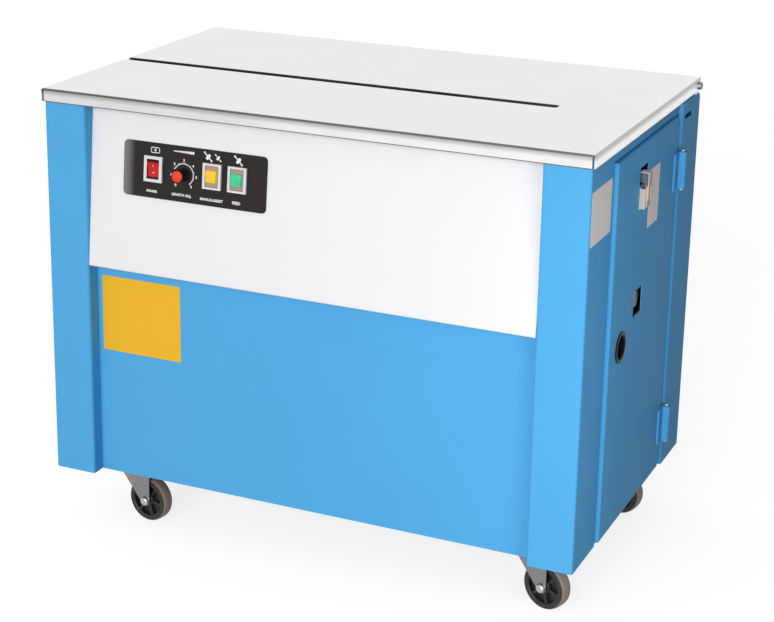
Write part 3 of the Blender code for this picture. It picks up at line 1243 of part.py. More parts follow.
def drive_motor(finish):
    """A geared motor, flanged to the left cheek, on the camshaft's axis."""
    face = HEAD_LEFT - SEAT_GAP
    half = GEARBOX_SIDE / 2
    gearbox = rounded_box((face - GEARBOX_LENGTH, CAM_Y - half, CAM_Z - half),
                          (face, CAM_Y + half, CAM_Z + half), 0.006, "X")
    can_end = face - GEARBOX_LENGTH - MOTOR_LENGTH
    can = rod((0, CAM_Y, CAM_Z), "X", MOTOR_RADIUS, can_end, face - GEARBOX_LENGTH / 2)
    socket = rod((0, CAM_Y, CAM_Z), "X", CAM_SHAFT_RADIUS + RUN_GAP, face - GEARBOX_LENGTH / 3,
                 face + SHEET, SMALL_ROUND)
    part("drive_motor", finish, gearbox, add=[can], cut=[socket])


def control_box(finish):
    back = LOWER_PANEL_Y + THIN_SHEET + SEAT_GAP
    top = UPPER_FOOT + LOWER_PANEL_LAP - 5 * SHEET
    low = (FASCIA_X - BOX_WIDTH / 2, back, top - BOX_HEIGHT)
    high = (FASCIA_X + BOX_WIDTH / 2, back + BOX_DEPTH, top)
    part("control_box", finish, rounded_box(low, high, 0.004, "Y"))


# ---------------------------------------------------------------- the machine
def main():
    for item in list(bpy.data.objects):
        bpy.data.objects.remove(item, do_unlink=True)

    blue = material("blue_powder_coat", "4FA4E3", 0.42)
    white = material("white_powder_coat", "F2F1F3", 0.45)
    stainless = material("brushed_stainless_sheet", "E4E4E3", 0.32, 0.85)
    zinc = material("zinc_plated_steel", "A9ABA9", 0.38, 0.9)
    chrome = material("bright_chrome", "D6D4D0", 0.15, 1.0)
    dark_steel = material("blackened_steel", "3A3B3C", 0.5, 0.8)
    black_plastic = material("black_abs", "141314", 0.35)
    fascia_film = material("black_overlay_film", "2A2422", 0.3)
    grey_plastic = material("light_grey_abs", "CFD3D8", 0.45)
    red_plastic = material("red_polycarbonate", "C01A0A", 0.3)
    yellow_plastic = material("yellow_polycarbonate", "FFD63A", 0.35)
    green_plastic = material("green_polycarbonate", "45DDA0", 0.35)
    tyre_rubber = material("dark_rubber", "34302E", 0.7)
    motor_paint = material("grey_motor_paint", "6A7076", 0.5)
    strap_plastic = material("polypropylene_strap", "E9E6DC", 0.5)
    nylon = material("white_nylon", "EDEBE6", 0.5)
    roller_rubber = material("polyurethane_tyre", "8A5A2A", 0.6)

    base_tray(blue)
    top_frame(blue)
    for side in ("left", "right"):
        front_post(side, blue)
        rear_post(side, blue)
    left_side_panel(blue)
    rear_panel(blue)
    cable_gland(black_plastic)
    lower_front_panel(blue)
    upper_front_panel(white)

    table_top(stainless)
    for side in ("left", "right"):
        table_pivot(side, zinc)
    strap_channel(dark_steel)

    side_door(blue)
    door_finger_cup(black_plastic)
    for place in HINGE_CENTRES:
        door_hinge(place, blue)
    latch_base(chrome)
    latch_lever(chrome)
    latch_claw(chrome)
    door_catch(zinc)

    frame = control_frame()
    control_fascia(fascia_film, frame)
    switch_bezel("power_bezel", grey_plastic, frame, (ROCKER_X, ROCKER_Y), ROCKER_BEZEL,
                 ROCKER_OPENING)
    switch_bezel("reset_bezel", grey_plastic, frame, (RESET_X, BUTTON_Y), BUTTON_BEZEL,
                 BUTTON_OPENING)
    switch_bezel("feed_bezel", grey_plastic, frame, (FEED_X, BUTTON_Y), BUTTON_BEZEL,
                 BUTTON_OPENING)
    power_rocker(red_plastic, frame)
    length_knob(black_plastic, frame)
    push_button("reset_button", yellow_plastic, frame, RESET_X)
    push_button("feed_button", green_plastic, frame, FEED_X)

    for across, x in (("left", CASTER_LEFT_X), ("right", CASTER_RIGHT_X)):
        for along, y in (("front", CASTER_FRONT_Y), ("rear", CASTER_REAR_Y)):
            caster(f"{along}_{across}", x, y, zinc, zinc, tyre_rubber)

    reel_bracket(dark_steel)
    strap_reel(dark_steel, zinc, strap_plastic, nylon)

    mechanism_shelf(blue)
    head_frame(dark_steel)
    camshaft(zinc)
    seal_press(dark_steel)
    heater_blade(zinc)
    slide_anvil(dark_steel)
    roller("feed_roller", roller_rubber, FEED_Z, FEED_RADIUS)
    roller("pinch_roller", zinc, PINCH_Z, PINCH_RADIUS)
    drive_motor(motor_paint)
    control_box(grey_plastic)


main()
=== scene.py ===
"""Looks of the semi automatic strapping machine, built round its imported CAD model."""
import json
import math

import bmesh
import bpy
from mathutils import Matrix, Vector


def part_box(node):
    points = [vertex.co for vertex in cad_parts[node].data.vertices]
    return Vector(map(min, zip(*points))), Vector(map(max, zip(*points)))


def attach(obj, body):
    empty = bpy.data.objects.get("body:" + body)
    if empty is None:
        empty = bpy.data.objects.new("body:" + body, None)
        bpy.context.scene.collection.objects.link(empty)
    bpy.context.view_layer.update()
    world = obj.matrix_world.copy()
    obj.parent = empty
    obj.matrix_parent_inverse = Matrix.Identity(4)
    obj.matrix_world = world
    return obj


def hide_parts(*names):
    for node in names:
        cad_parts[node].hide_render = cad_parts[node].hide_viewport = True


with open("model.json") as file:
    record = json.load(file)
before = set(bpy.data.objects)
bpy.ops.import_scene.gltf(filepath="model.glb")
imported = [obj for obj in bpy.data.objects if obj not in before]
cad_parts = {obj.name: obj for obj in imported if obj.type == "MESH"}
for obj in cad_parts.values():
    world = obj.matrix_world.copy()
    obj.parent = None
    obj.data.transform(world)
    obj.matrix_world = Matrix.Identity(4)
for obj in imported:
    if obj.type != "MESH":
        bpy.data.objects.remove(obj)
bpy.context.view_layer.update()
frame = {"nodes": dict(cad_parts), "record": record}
joints = {joint["name"]: joint for joint in frame["record"]["behaviour"]["joints"]}

# ------------------------------------------------------------------ camera, first
CAMERA_PLACE = Vector((1.1922, -2.7243, 1.3978))
CAMERA_YAW = math.radians(24.6284)
CAMERA_PITCH = math.radians(-17.1641)
CAMERA_ROLL = math.radians(0.6849)

camera_data = bpy.data.cameras.new("studio_camera")
camera_data.sensor_width = 36.0
camera_data.lens = 89.28
camera_data.shift_x = 0.0554
camera_data.shift_y = -0.0965
camera_data.clip_end = 60.0
camera = bpy.data.objects.new("studio_camera", camera_data)
bpy.context.collection.objects.link(camera)
ahead = Vector((-math.sin(CAMERA_YAW) * math.cos(CAMERA_PITCH),
                math.cos(CAMERA_YAW) * math.cos(CAMERA_PITCH), math.sin(CAMERA_PITCH)))
level = Vector((math.cos(CAMERA_YAW), math.sin(CAMERA_YAW), 0.0))
upright = level.cross(ahead)
side = level * math.cos(CAMERA_ROLL) + upright * math.sin(CAMERA_ROLL)
top = upright * math.cos(CAMERA_ROLL) - level * math.sin(CAMERA_ROLL)
turn = Matrix((side, top, -ahead)).transposed().to_4x4()
camera.matrix_world = Matrix.Translation(CAMERA_PLACE) @ turn
bpy.context.scene.camera = camera
bpy.context.scene.view_settings.view_transform = "Standard"


# ------------------------------------------------------------------ material helpers
def linear_colour(hex_colour, strength=1.0):
    """An sRGB hex colour as linear RGBA."""
    channels = []
    for start in (0, 2, 4):
        value = int(hex_colour[start:start + 2], 16) / 255
        value = value / 12.92 if value <= 0.04045 else ((value + 0.055) / 1.055) ** 2.4
        channels.append(value * strength)
    return (*channels, 1.0)


def add_node(tree, kind, settings=(), values=(), links=()):
    """Add a node with its settings, its sockets' values and its links."""
    made = tree.nodes.new(kind)
    for key, value in dict(settings).items():
        setattr(made, key, value)
    for key, value in dict(values).items():
        made.inputs[key].default_value = value
    for key, source in dict(links).items():
        tree.links.new(source, made.inputs[key])
    return made


def blank(name):
    """A material with an empty node tree."""
    made = bpy.data.materials.new(name)
    made.use_nodes = True
    made.node_tree.nodes.clear()
    return made, made.node_tree


def coated(name, hex_colour, roughness, peel_mm, peel_depth_mm, drift, coat=0.0, specular=0.5,
           ior=1.5):
    """Paint or moulded plastic: a fine surface grain, with slow drift in colour and gloss."""
    made, tree = blank(name)
    place = add_node(tree, "ShaderNodeTexCoord").outputs["Object"]
    peel = add_node(tree, "ShaderNodeTexNoise", values={"Scale": 1000 / peel_mm, "Detail": 3.0},
                    links={"Vector": place})
    cloud = add_node(tree, "ShaderNodeTexNoise", values={"Scale": 1000 / 110, "Detail": 4.0},
                     links={"Vector": place})
    dark = linear_colour(hex_colour, 1 - drift)
    light = linear_colour(hex_colour, 1 + drift)
    tint = add_node(tree, "ShaderNodeMix", {"data_type": "RGBA"},
                    links={"Factor": cloud.outputs["Fac"]})
    tint.inputs[6].default_value = dark
    tint.inputs[7].default_value = light
    gloss = add_node(tree, "ShaderNodeMapRange",
                     values={"From Min": 0.3, "From Max": 0.7, "To Min": roughness - 0.05,
                             "To Max": roughness + 0.06},
                     links={"Value": peel.outputs["Fac"]})
    bump = add_node(tree, "ShaderNodeBump",
                    values={"Strength": 0.35, "Distance": peel_depth_mm / 1000},
                    links={"Height": peel.outputs["Fac"]})
    shader = add_node(tree, "ShaderNodeBsdfPrincipled",
                      values={"IOR": ior, "Specular IOR Level": specular, "Coat Weight": coat,
                              "Coat Roughness": 0.2},
                      links={"Base Color": tint.outputs[2], "Roughness": gloss.outputs["Result"],
                             "Normal": bump.outputs["Normal"]})
    add_node(tree, "ShaderNodeOutputMaterial", links={"Surface": shader.outputs["BSDF"]})
    return made


def facing_band(tree, colour, shade, axis, stops, only=None):
    """Mix painted shade into a colour where a face's own normal lies in a band along an axis."""
    normal = add_node(tree, "ShaderNodeTexCoord").outputs["Normal"]
    parts = add_node(tree, "ShaderNodeSeparateXYZ", links={"Vector": normal})
    band = add_node(tree, "ShaderNodeValToRGB", links={"Fac": parts.outputs[axis]})
    ramp = band.color_ramp.elements
    for spot, _ in stops[1:-1]:
        ramp.new(spot)
    for element, (spot, level) in zip(ramp, stops):
        element.position = spot
        element.color = (level, level, level, 1)
    amount = band.outputs["Color"]
    if only:
        across, low, high = only
        limit = add_node(tree, "ShaderNodeMapRange", values={"From Min": low, "From Max": high},
                         links={"Value": parts.outputs[across]})
        amount = add_node(tree, "ShaderNodeMath", {"operation": "MULTIPLY"},
                          links={0: amount, 1: limit.outputs["Result"]}).outputs["Value"]
    mixed = add_node(tree, "ShaderNodeMix", {"data_type": "RGBA"}, links={"Factor": amount})
    mixed.inputs[7].default_value = linear_colour(shade)
    tree.links.new(colour, mixed.inputs[6])
    return mixed.outputs[2]


def flange_shading(tree, colour, place):
    """Paint shade on a turned-down flange: a painted grey band under its fold and a painted dark
    line along its lower edge.
    """
    low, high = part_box("table_top")
    # Painted shade: the front flange's forward-facing faces are greyed, so that it reads darker
    # than the top.
    colour = facing_band(tree, colour, "CAC8C7", "Z", ((0.0, 1), (0.3, 1), (0.5, 0), (1.0, 0)),
                         ("Y", -0.6, -0.95))
    height = add_node(tree, "ShaderNodeSeparateXYZ", links={"Vector": place}).outputs["Z"]
    level = add_node(tree, "ShaderNodeMapRange", values={"From Min": low[2], "From Max": high[2]},
                     links={"Value": height})
    # Painted shade by height: a dark line at the lower edge, white down the face, grey just under
    # the fold.
    shade = add_node(tree, "ShaderNodeValToRGB", links={"Fac": level.outputs["Result"]})
    ramp = shade.color_ramp.elements
    for spot in (0.05, 0.48, 0.90):
        ramp.new(spot)
    for element, (spot, grey) in zip(ramp, ((0.04, "6A6562"), (0.07, "FFFFFF"), (0.48, "FEFEFE"),
                                            (0.86, "B9B6B4"), (0.99, "FFFFFF"))):
        element.position = spot
        element.color = linear_colour(grey)
    mixed = add_node(tree, "ShaderNodeMix", {"data_type": "RGBA", "blend_type": "MULTIPLY"},
                     {"Factor": 1.0})
    tree.links.new(colour, mixed.inputs[6])
    tree.links.new(shade.outputs["Color"], mixed.inputs[7])
    return mixed.outputs[2]


def drawn_metal(name, hex_colour, roughness, grain, depth_mm, contrast=0.06, metallic=1.0,
                painted_shade_bands=(), flange=False):
    """Bare metal with a directional grain; grain is the scratch length in mm along X, Y and Z."""
    made, tree = blank(name)
    place = add_node(tree, "ShaderNodeTexCoord").outputs["Object"]
    stretch = add_node(tree, "ShaderNodeMapping", links={"Vector": place})
    stretch.inputs["Scale"].default_value = [1000 / length for length in grain]
    scratch = add_node(tree, "ShaderNodeTexNoise", values={"Scale": 1.0, "Detail": 4.0},
                       links={"Vector": stretch.outputs["Vector"]})
    smudge = add_node(tree, "ShaderNodeTexNoise", values={"Scale": 1000 / 160, "Detail": 3.0},
                      links={"Vector": place})
    tint = add_node(tree, "ShaderNodeMix", {"data_type": "RGBA"},
                    links={"Factor": scratch.outputs["Fac"]})
    tint.inputs[6].default_value = linear_colour(hex_colour, 1 - contrast)
    tint.inputs[7].default_value = linear_colour(hex_colour, 1 + contrast / 2)
    colour = tint.outputs[2]
    if flange:
        colour = flange_shading(tree, colour, place)
    for band in painted_shade_bands:
        colour = facing_band(tree, colour, *band)
    gloss = add_node(tree, "ShaderNodeMapRange",
                     values={"From Min": 0.3, "From Max": 0.7, "To Min": roughness - 0.05,
                             "To Max": roughness + 0.07},
                     links={"Value": smudge.outputs["Fac"]})
    bump = add_node(tree, "ShaderNodeBump", values={"Strength": 0.3, "Distance": depth_mm / 1000},
                    links={"Height": scratch.outputs["Fac"]})
    shader = add_node(tree, "ShaderNodeBsdfPrincipled", values={"Metallic": metallic},
                      links={"Base Color": colour, "Roughness": gloss.outputs["Result"],
                             "Normal": bump.outputs["Normal"]})
    add_node(tree, "ShaderNodeOutputMaterial", links={"Surface": shader.outputs["BSDF"]})
    return made


def wound_strap():
    """Polypropylene strap wound on its core: every turn shows as a thin ring on the side."""
    made, tree = blank("wound_polypropylene_strap")
    place = add_node(tree, "ShaderNodeTexCoord").outputs["Object"]
    centre = add_node(tree, "ShaderNodeMapping", links={"Vector": place})
    low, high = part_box("strap_coil")
    centre.inputs["Location"].default_value = [-(low[i] + high[i]) / 2 for i in range(3)]
    split = add_node(tree, "ShaderNodeSeparateXYZ", links={"Vector": centre.outputs["Vector"]})
    flat = add_node(tree, "ShaderNodeCombineXYZ",
                    links={"Y": split.outputs["Y"], "Z": split.outputs["Z"]})
    radius = add_node(tree, "ShaderNodeVectorMath", {"operation": "LENGTH"},
                      links={"Vector": flat.outputs["Vector"]})
    # Real turns are 0.6 mm apart; they are drawn 2.4 mm apart so that they show.
    turns = add_node(tree, "ShaderNodeMath", {"operation": "MULTIPLY"}, {1: 1000 / 2.4},
                     {0: radius.outputs["Value"]})
    saw = add_node(tree, "ShaderNodeMath", {"operation": "PINGPONG"}, {1: 0.5},
                   {0: turns.outputs["Value"]})
    tint = add_node(tree, "ShaderNodeMix", {"data_type": "RGBA"},
                    links={"Factor": saw.outputs["Value"]})
    tint.inputs[6].default_value = linear_colour("D8D2C2")
    tint.inputs[7].default_value = linear_colour("F2EFE6")
    bump = add_node(tree, "ShaderNodeBump", values={"Strength": 0.5, "Distance": 0.0005},
                    links={"Height": saw.outputs["Value"]})
    shader = add_node(tree, "ShaderNodeBsdfPrincipled", values={"Roughness": 0.45, "IOR": 1.49},
                      links={"Base Color": tint.outputs[2], "Normal": bump.outputs["Normal"]})
    add_node(tree, "ShaderNodeOutputMaterial", links={"Surface": shader.outputs["BSDF"]})
    return made


def lens_plastic(name, hex_colour, shade_hex):
    """Tinted polycarbonate button cap: clear gloss outside, fine prisms moulded on the inside."""
    made, tree = blank(name)
    place = add_node(tree, "ShaderNodeTexCoord").outputs["Object"]
    # The inner prisms are about 1.5 mm wide.
    prisms = add_node(tree, "ShaderNodeTexVoronoi", values={"Scale": 1000 / 1.5},
                      links={"Vector": place})
    cloud = add_node(tree, "ShaderNodeTexNoise", values={"Scale": 1000 / 14, "Detail": 2.0},
                     links={"Vector": place})
    tint = add_node(tree, "ShaderNodeMix", {"data_type": "RGBA"},
                    links={"Factor": cloud.outputs["Fac"]})
    tint.inputs[6].default_value = linear_colour(shade_hex)
    tint.inputs[7].default_value = linear_colour(hex_colour)
    bump = add_node(tree, "ShaderNodeBump", values={"Strength": 0.1, "Distance": 0.0002},
                    links={"Height": prisms.outputs["Distance"]})
    shader = add_node(tree, "ShaderNodeBsdfPrincipled",
                      values={"Roughness": 0.28, "IOR": 1.58, "Specular IOR Level": 0.2,
                              "Coat Weight": 0.05, "Coat Roughness": 0.08},
                      links={"Base Color": tint.outputs[2], "Normal": bump.outputs["Normal"]})
    add_node(tree, "ShaderNodeOutputMaterial", links={"Surface": shader.outputs["BSDF"]})
    return made


# ------------------------------------------------------------------ the machine's finishes
# Polyester powder coat on folded steel: semi-gloss, with a slight orange peel.
blue_coat = coated("blue_polyester_powder_coat", "55A9DD", 0.48, 4.0, 0.04, 0.03, specular=0.03)
white_coat = coated("white_polyester_powder_coat", "E8E6E7", 0.45, 4.0, 0.04, 0.01, specular=0.25)
# Painted shade: a darker copy of the blue coat for the parts inside the cabinet and the door jamb.
inner_coat_painted_shade = coated("blue_powder_coat_inside_painted_shade", "4A9CD0", 0.5, 4.0, 0.04, 0.05, specular=0.05)
# Stainless sheet with a No. 4 brush along its length; painted shade darkens its folds, grey on the
# side folds and dark on the front fold.
stainless = drawn_metal("brushed_304_stainless_sheet", "F0EFED", 0.42, (90, 1.8, 1.8), 0.03, painted_shade_bands=(
    ("A5A19E", "Z", ((0.25, 0), (0.60, 0.9), (0.93, 0.9), (0.985, 0)), ("X", 0.05, 0.15)),
    ("443F3C", "Z", ((0.10, 0), (0.20, 0.9), (0.95, 0.9), (0.985, 0)), ("Y", -0.05, -0.15)),
), flange=True)
# Bright zinc plate on pressed steel: soft gloss with a faint crystalline mottle.
zinc = drawn_metal("bright_zinc_plated_steel", "858686", 0.38, (6, 6, 6), 0.04, contrast=0.14)
# The axle's rivet heads: a lighter copy of the zinc as a painted highlight, with a smoother gloss.
rivet_zinc_painted_highlight = drawn_metal("zinc_rivet_head_painted_highlight", "B4B5B6", 0.30, (3, 3, 3), 0.01, contrast=0.04)
# Nickel plate on the latch: warm and bright on its broad faces; faces turned towards +X get a
# painted brown reflection.
nickel = drawn_metal("satin_nickel_plate", "EAD9C1", 0.34, (2, 2, 14), 0.01, contrast=0.05,
                     metallic=0.55, painted_shade_bands=(
    ("4B382E", "X", ((0.55, 0), (0.80, 0.92), (0.98, 0.92), (1.0, 0.92)), None),
))
# Chemically blackened steel: dark, oily, slightly uneven.
black_oxide = drawn_metal("blackened_machined_steel", "45464A", 0.42, (5, 5, 5), 0.03,
                          contrast=0.25)
# Injection-moulded ABS: fine spark-eroded grain.
black_abs = coated("moulded_black_abs", "151314", 0.40, 1.6, 0.04, 0.15, specular=0.10)
grey_abs = coated("moulded_light_grey_abs", "D6D9DC", 0.40, 1.6, 0.03, 0.02)
white_frame = coated("moulded_white_abs", "D8DBDE", 0.38, 1.6, 0.03, 0.015, specular=0.2)
red_abs = coated("moulded_red_abs", "E43E25", 0.40, 1.6, 0.03, 0.04, specular=0.3)
smoked = coated("smoked_tan_polycarbonate", "A58876", 0.35, 1.6, 0.03, 0.08)
# Grey stove enamel on the motor's ribbed casting.
motor_paint = coated("grey_motor_enamel", "6A7076", 0.42, 3.0, 0.06, 0.06)
# Thermoplastic rubber tread and a glass-filled nylon wheel core.
tread_rubber = coated("grey_thermoplastic_rubber", "8E7F75", 0.62, 2.5, 0.08, 0.12)
wheel_nylon = coated("black_glass_filled_nylon", "242324", 0.46, 1.8, 0.06, 0.12, specular=0.35)
white_nylon = coated("turned_white_nylon", "EFEDE8", 0.42, 2.0, 0.03, 0.02)
roller_tyre = coated("amber_polyurethane_tyre", "9A6428", 0.4, 2.0, 0.05, 0.08, coat=0.15)
# Printed and stuck-on things.
yellow_vinyl = coated("yellow_matt_vinyl", "E8B00C", 0.5, 3.0, 0.02, 0.012)
label_vinyl = coated("pale_grey_label_vinyl", "F2E6DF", 0.46, 3.0, 0.02, 0.012, specular=0.2)
white_ink = coated("white_screen_print_ink", "EDEFF2", 0.55, 1.5, 0.01, 0.01)
red_lens = lens_plastic("red_polycarbonate_rocker", "DB2411", "A5120A")
yellow_lens = lens_plastic("yellow_polycarbonate_cap", "F7D23C", "EAB824")
green_lens = lens_plastic("green_polycarbonate_cap", "4FD69B", "33BE86")
strap_finish = wound_strap()


def overlay_film():
    """Reverse-printed polyester overlay: satin black, with a painted grey reflection towards its
    left end.
    """
    made, tree = blank("black_polyester_overlay_film")
    place = add_node(tree, "ShaderNodeTexCoord").outputs["Object"]
    split = add_node(tree, "ShaderNodeSeparateXYZ", links={"Vector": place})
    low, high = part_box("control_fascia")
    # Painted reflection: the film turns paler grey towards its left end.
    painted_reflection = add_node(tree, "ShaderNodeMapRange",
                    {"interpolation_type": "SMOOTHSTEP"},
                    {"From Min": low[0] + 0.002, "From Max": low[0] + 0.022, "To Min": 1.0,
                     "To Max": 0.0},
                    {"Value": split.outputs["X"]})
    grain = add_node(tree, "ShaderNodeTexNoise", values={"Scale": 1000 / 1.6, "Detail": 2.0},
                     links={"Vector": place})
    tint = add_node(tree, "ShaderNodeMix", {"data_type": "RGBA"},
                    links={"Factor": painted_reflection.outputs["Result"]})
    tint.inputs[6].default_value = linear_colour("261F1C")
    tint.inputs[7].default_value = linear_colour("7A7472")
    bump = add_node(tree, "ShaderNodeBump", values={"Strength": 0.2, "Distance": 0.00003},
                    links={"Height": grain.outputs["Fac"]})
    shader = add_node(tree, "ShaderNodeBsdfPrincipled",
                      values={"Roughness": 0.36, "IOR": 1.57, "Specular IOR Level": 0.12},
                      links={"Base Color": tint.outputs[2], "Normal": bump.outputs["Normal"]})
    add_node(tree, "ShaderNodeOutputMaterial", links={"Surface": shader.outputs["BSDF"]})
    return made


film = overlay_film()

FINISHES = {
    "base_tray": blue_coat, "top_frame": inner_coat_painted_shade, "mechanism_shelf": inner_coat_painted_shade,
    "front_post_left": blue_coat, "front_post_right": blue_coat,
    "rear_post_left": blue_coat, "rear_post_right": blue_coat,
    "left_side_panel": blue_coat, "rear_panel": blue_coat, "lower_front_panel": blue_coat,
    "side_door": blue_coat, "upper_front_panel": white_coat,
    "hinge_door_leaf_upper": blue_coat, "hinge_door_leaf_lower": blue_coat,
    "hinge_frame_leaf_upper": blue_coat, "hinge_frame_leaf_lower": blue_coat,
    "table_top": stainless, "table_pivot_left": black_oxide, "table_pivot_right": black_oxide,
    "strap_channel": black_abs, "cable_gland": black_abs, "door_finger_cup": black_abs,
    "latch_base": nickel, "latch_lever": nickel, "latch_claw": nickel, "door_catch": zinc,
    "control_fascia": film, "power_bezel": white_frame, "reset_bezel": white_frame,
    "feed_bezel": white_frame, "power_rocker": red_lens, "length_knob": black_abs,
    "reset_button": yellow_lens, "feed_button": green_lens,
    "reel_bracket": black_oxide, "reel_hub": black_oxide, "reel_outer_disc": wheel_nylon,
    "strap_coil": strap_finish, "reel_nut": white_nylon,
    "head_frame": black_oxide, "camshaft": zinc, "seal_press": black_oxide,
    "heater_blade": zinc, "slide_anvil": wheel_nylon, "feed_roller": roller_tyre,
    "pinch_roller": zinc, "drive_motor": motor_paint, "control_box": grey_abs,
}
for corner in ("front_left", "front_right", "rear_left", "rear_right"):
    FINISHES[f"caster_plate_{corner}"] = zinc
    FINISHES[f"caster_fork_{corner}"] = zinc
    FINISHES[f"caster_wheel_{corner}"] = wheel_nylon
for name, thing in frame["nodes"].items():
    for slot in thing.material_slots:
        slot.material = FINISHES[name]


# ------------------------------------------------------------------ piece helpers
def piece(name, shape, finish, body, smooth=35):
    """A new piece from a bmesh in the row frame, riding on a body."""
    mesh = bpy.data.meshes.new(name)
    shape.to_mesh(mesh)
    shape.free()
    mesh.materials.append(finish)
    mesh.shade_smooth()
    mesh.set_sharp_from_angle(angle=math.radians(smooth))
    made = bpy.data.objects.new(name, mesh)
    bpy.context.collection.objects.link(made)
    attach(made, body)
    return made


def block(shape, low, high, rounding=0.0, segments=3):
    """Add a block to a bmesh, with its edges rounded."""
    made = bmesh.ops.create_cube(shape, size=1.0)["verts"]
    low, high = Vector(low), Vector(high)
    bmesh.ops.scale(shape, vec=high - low, verts=made)
    bmesh.ops.translate(shape, vec=(low + high) / 2, verts=made)
    if rounding:
        edges = list({edge for vert in made for edge in vert.link_edges})
        bmesh.ops.bevel(shape, geom=edges, offset=rounding, segments=segments, profile=0.5,
                        affect="EDGES", material=-1)


def disc(shape, centre, radius, foot, head, sides=32, rounding=0.0):
    """Add an upright round bar to a bmesh."""
    made = bmesh.ops.create_cone(shape, cap_ends=True, segments=sides, radius1=radius,
                                 radius2=radius, depth=head - foot)["verts"]
    spot = Vector((centre[0], centre[1], (foot + head) / 2))
    bmesh.ops.translate(shape, vec=spot, verts=made)
    if rounding:
        rims = [edge for edge in {e for v in made for e in v.link_edges}
                if abs(edge.verts[0].co.z - edge.verts[1].co.z) < 1e-7]
        bmesh.ops.bevel(shape, geom=rims, offset=rounding, segments=3, profile=0.5,
                        affect="EDGES", material=-1)


def ring(shape, profile, steps=64, sweep=math.tau, centre=(0, 0, 0)):
    """Add a solid spun about Z from a closed outline of (radius, height)."""
    corners = [shape.verts.new((radius, 0.0, height)) for radius, height in profile]
    face = shape.faces.new(corners)
    full = sweep >= math.tau - 1e-6
    geometry = [face, *face.edges, *face.verts]
    if full:
        shape.faces.remove(face)
        edges = list({edge for vert in corners for edge in vert.link_edges})
        geometry = [*edges, *corners]
    before = set(shape.verts)
    bmesh.ops.spin(shape, geom=geometry, cent=(0, 0, 0), axis=(0, 0, 1), angle=sweep,
                   steps=steps, use_merge=full)
    made = corners + [vert for vert in shape.verts if vert not in before]
    bmesh.ops.translate(shape, vec=centre, verts=made)


def settled(shape, place=Matrix.Identity(4)):
    """Close a bmesh's seams, turn its faces outwards and put it in its place."""
    bmesh.ops.remove_doubles(shape, verts=shape.verts, dist=1e-6)
    bmesh.ops.recalc_face_normals(shape, faces=shape.faces)
    bmesh.ops.transform(shape, matrix=place, verts=shape.verts)
    return shape


def axis_place(spot, axis):
    """The placement that takes local +Z to an axis at a spot."""
    spin = Vector((0, 0, 1)).rotation_difference(Vector(axis)).to_matrix().to_4x4()
    return Matrix.Translation(Vector(spot)) @ spin


# ------------------------------------------------------------------ control panel
PANEL_LEAN = math.atan2(0.0255, 0.2768)
FILM_HALF = 0.001
film_low, film_high = [Vector(corner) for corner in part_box("control_fascia")]
PANEL = (Matrix.Translation((film_low + film_high) / 2)
         @ Matrix.Rotation(math.pi / 2 - PANEL_LEAN, 4, "X")
         @ Matrix.Translation((0, 0, FILM_HALF)))
PANEL_DEPTH = 0.0023
INK = 0.00008
ROCKER_SPOT = (-0.0698, 0.0024)
KNOB_SPOT = (-0.018, -0.0005)
RESET_SPOT = (0.0322, 0.0030)
FEED_SPOT = (0.0751, 0.0030)
RIM_FACE = 0.0043


def words_on_panel(name, text, size, spot, body="cabinet"):
    """Printed words, flat on the overlay film."""
    curve = bpy.data.curves.new(name, "FONT")
    curve.body = text
    curve.size = size
    curve.align_x = "CENTER"
    curve.align_y = "CENTER"
    curve.extrude = INK / 2
    curve.offset = size * 0.03
    curve.resolution_u = 3
    source = bpy.data.objects.new(name + "_curve", curve)
    bpy.context.collection.objects.link(source)
    bpy.context.view_layer.update()
    mesh = bpy.data.meshes.new_from_object(source)
    bpy.data.objects.remove(source, do_unlink=True)
    shape = bmesh.new()
    shape.from_mesh(mesh)
    bpy.data.meshes.remove(mesh)
    place = PANEL @ Matrix.Translation((spot[0], spot[1], INK / 2))
    return piece(name, settled(shape, place), white_ink, body)


def bar(shape, start, end, width):
    """Add a straight printed line between two points of the film."""
    start, end = Vector((*start, 0)), Vector((*end, 0))
    along = end - start
    made = bmesh.ops.create_cube(shape, size=1.0)["verts"]
    bmesh.ops.scale(shape, vec=(along.length, width, INK), verts=made)
    bmesh.ops.rotate(shape, cent=(0, 0, 0), verts=made,
                     matrix=Matrix.Rotation(math.atan2(along.y, along.x), 3, "Z"))
    bmesh.ops.translate(shape, vec=(start + end) / 2 + Vector((0, 0, INK / 2)), verts=made)


def feed_sign(shape, centre, size):
    """Add the strap-feed sign: two rollers with an arrow through them."""
    x, y = centre
    half = size / 2
    bar(shape, (x - half, y + half), (x + half, y - half), size * 0.13)
    disc(shape, (x - half * 0.95, y + half * 0.95), size * 0.12, 0, INK, 20)
    disc(shape, (x + half * 0.90, y - half * 0.90), size * 0.13, 0, INK, 20)
    disc(shape, (x - size * 0.10, y - size * 0.16), size * 0.20, 0, INK, 20)
    disc(shape, (x + size * 0.13, y + size * 0.13), size * 0.20, 0, INK, 20)


words_on_panel("word_power", "POWER", 0.0053, (-0.0729, -0.0328))
words_on_panel("word_length", "LENGTH ADJ.", 0.0057, (-0.0207, -0.0327))
words_on_panel("word_reset", "MANUAL/RESET", 0.0056, (0.0312, -0.0338))
words_on_panel("word_feed", "FEED", 0.0063, (0.0736, -0.0334))

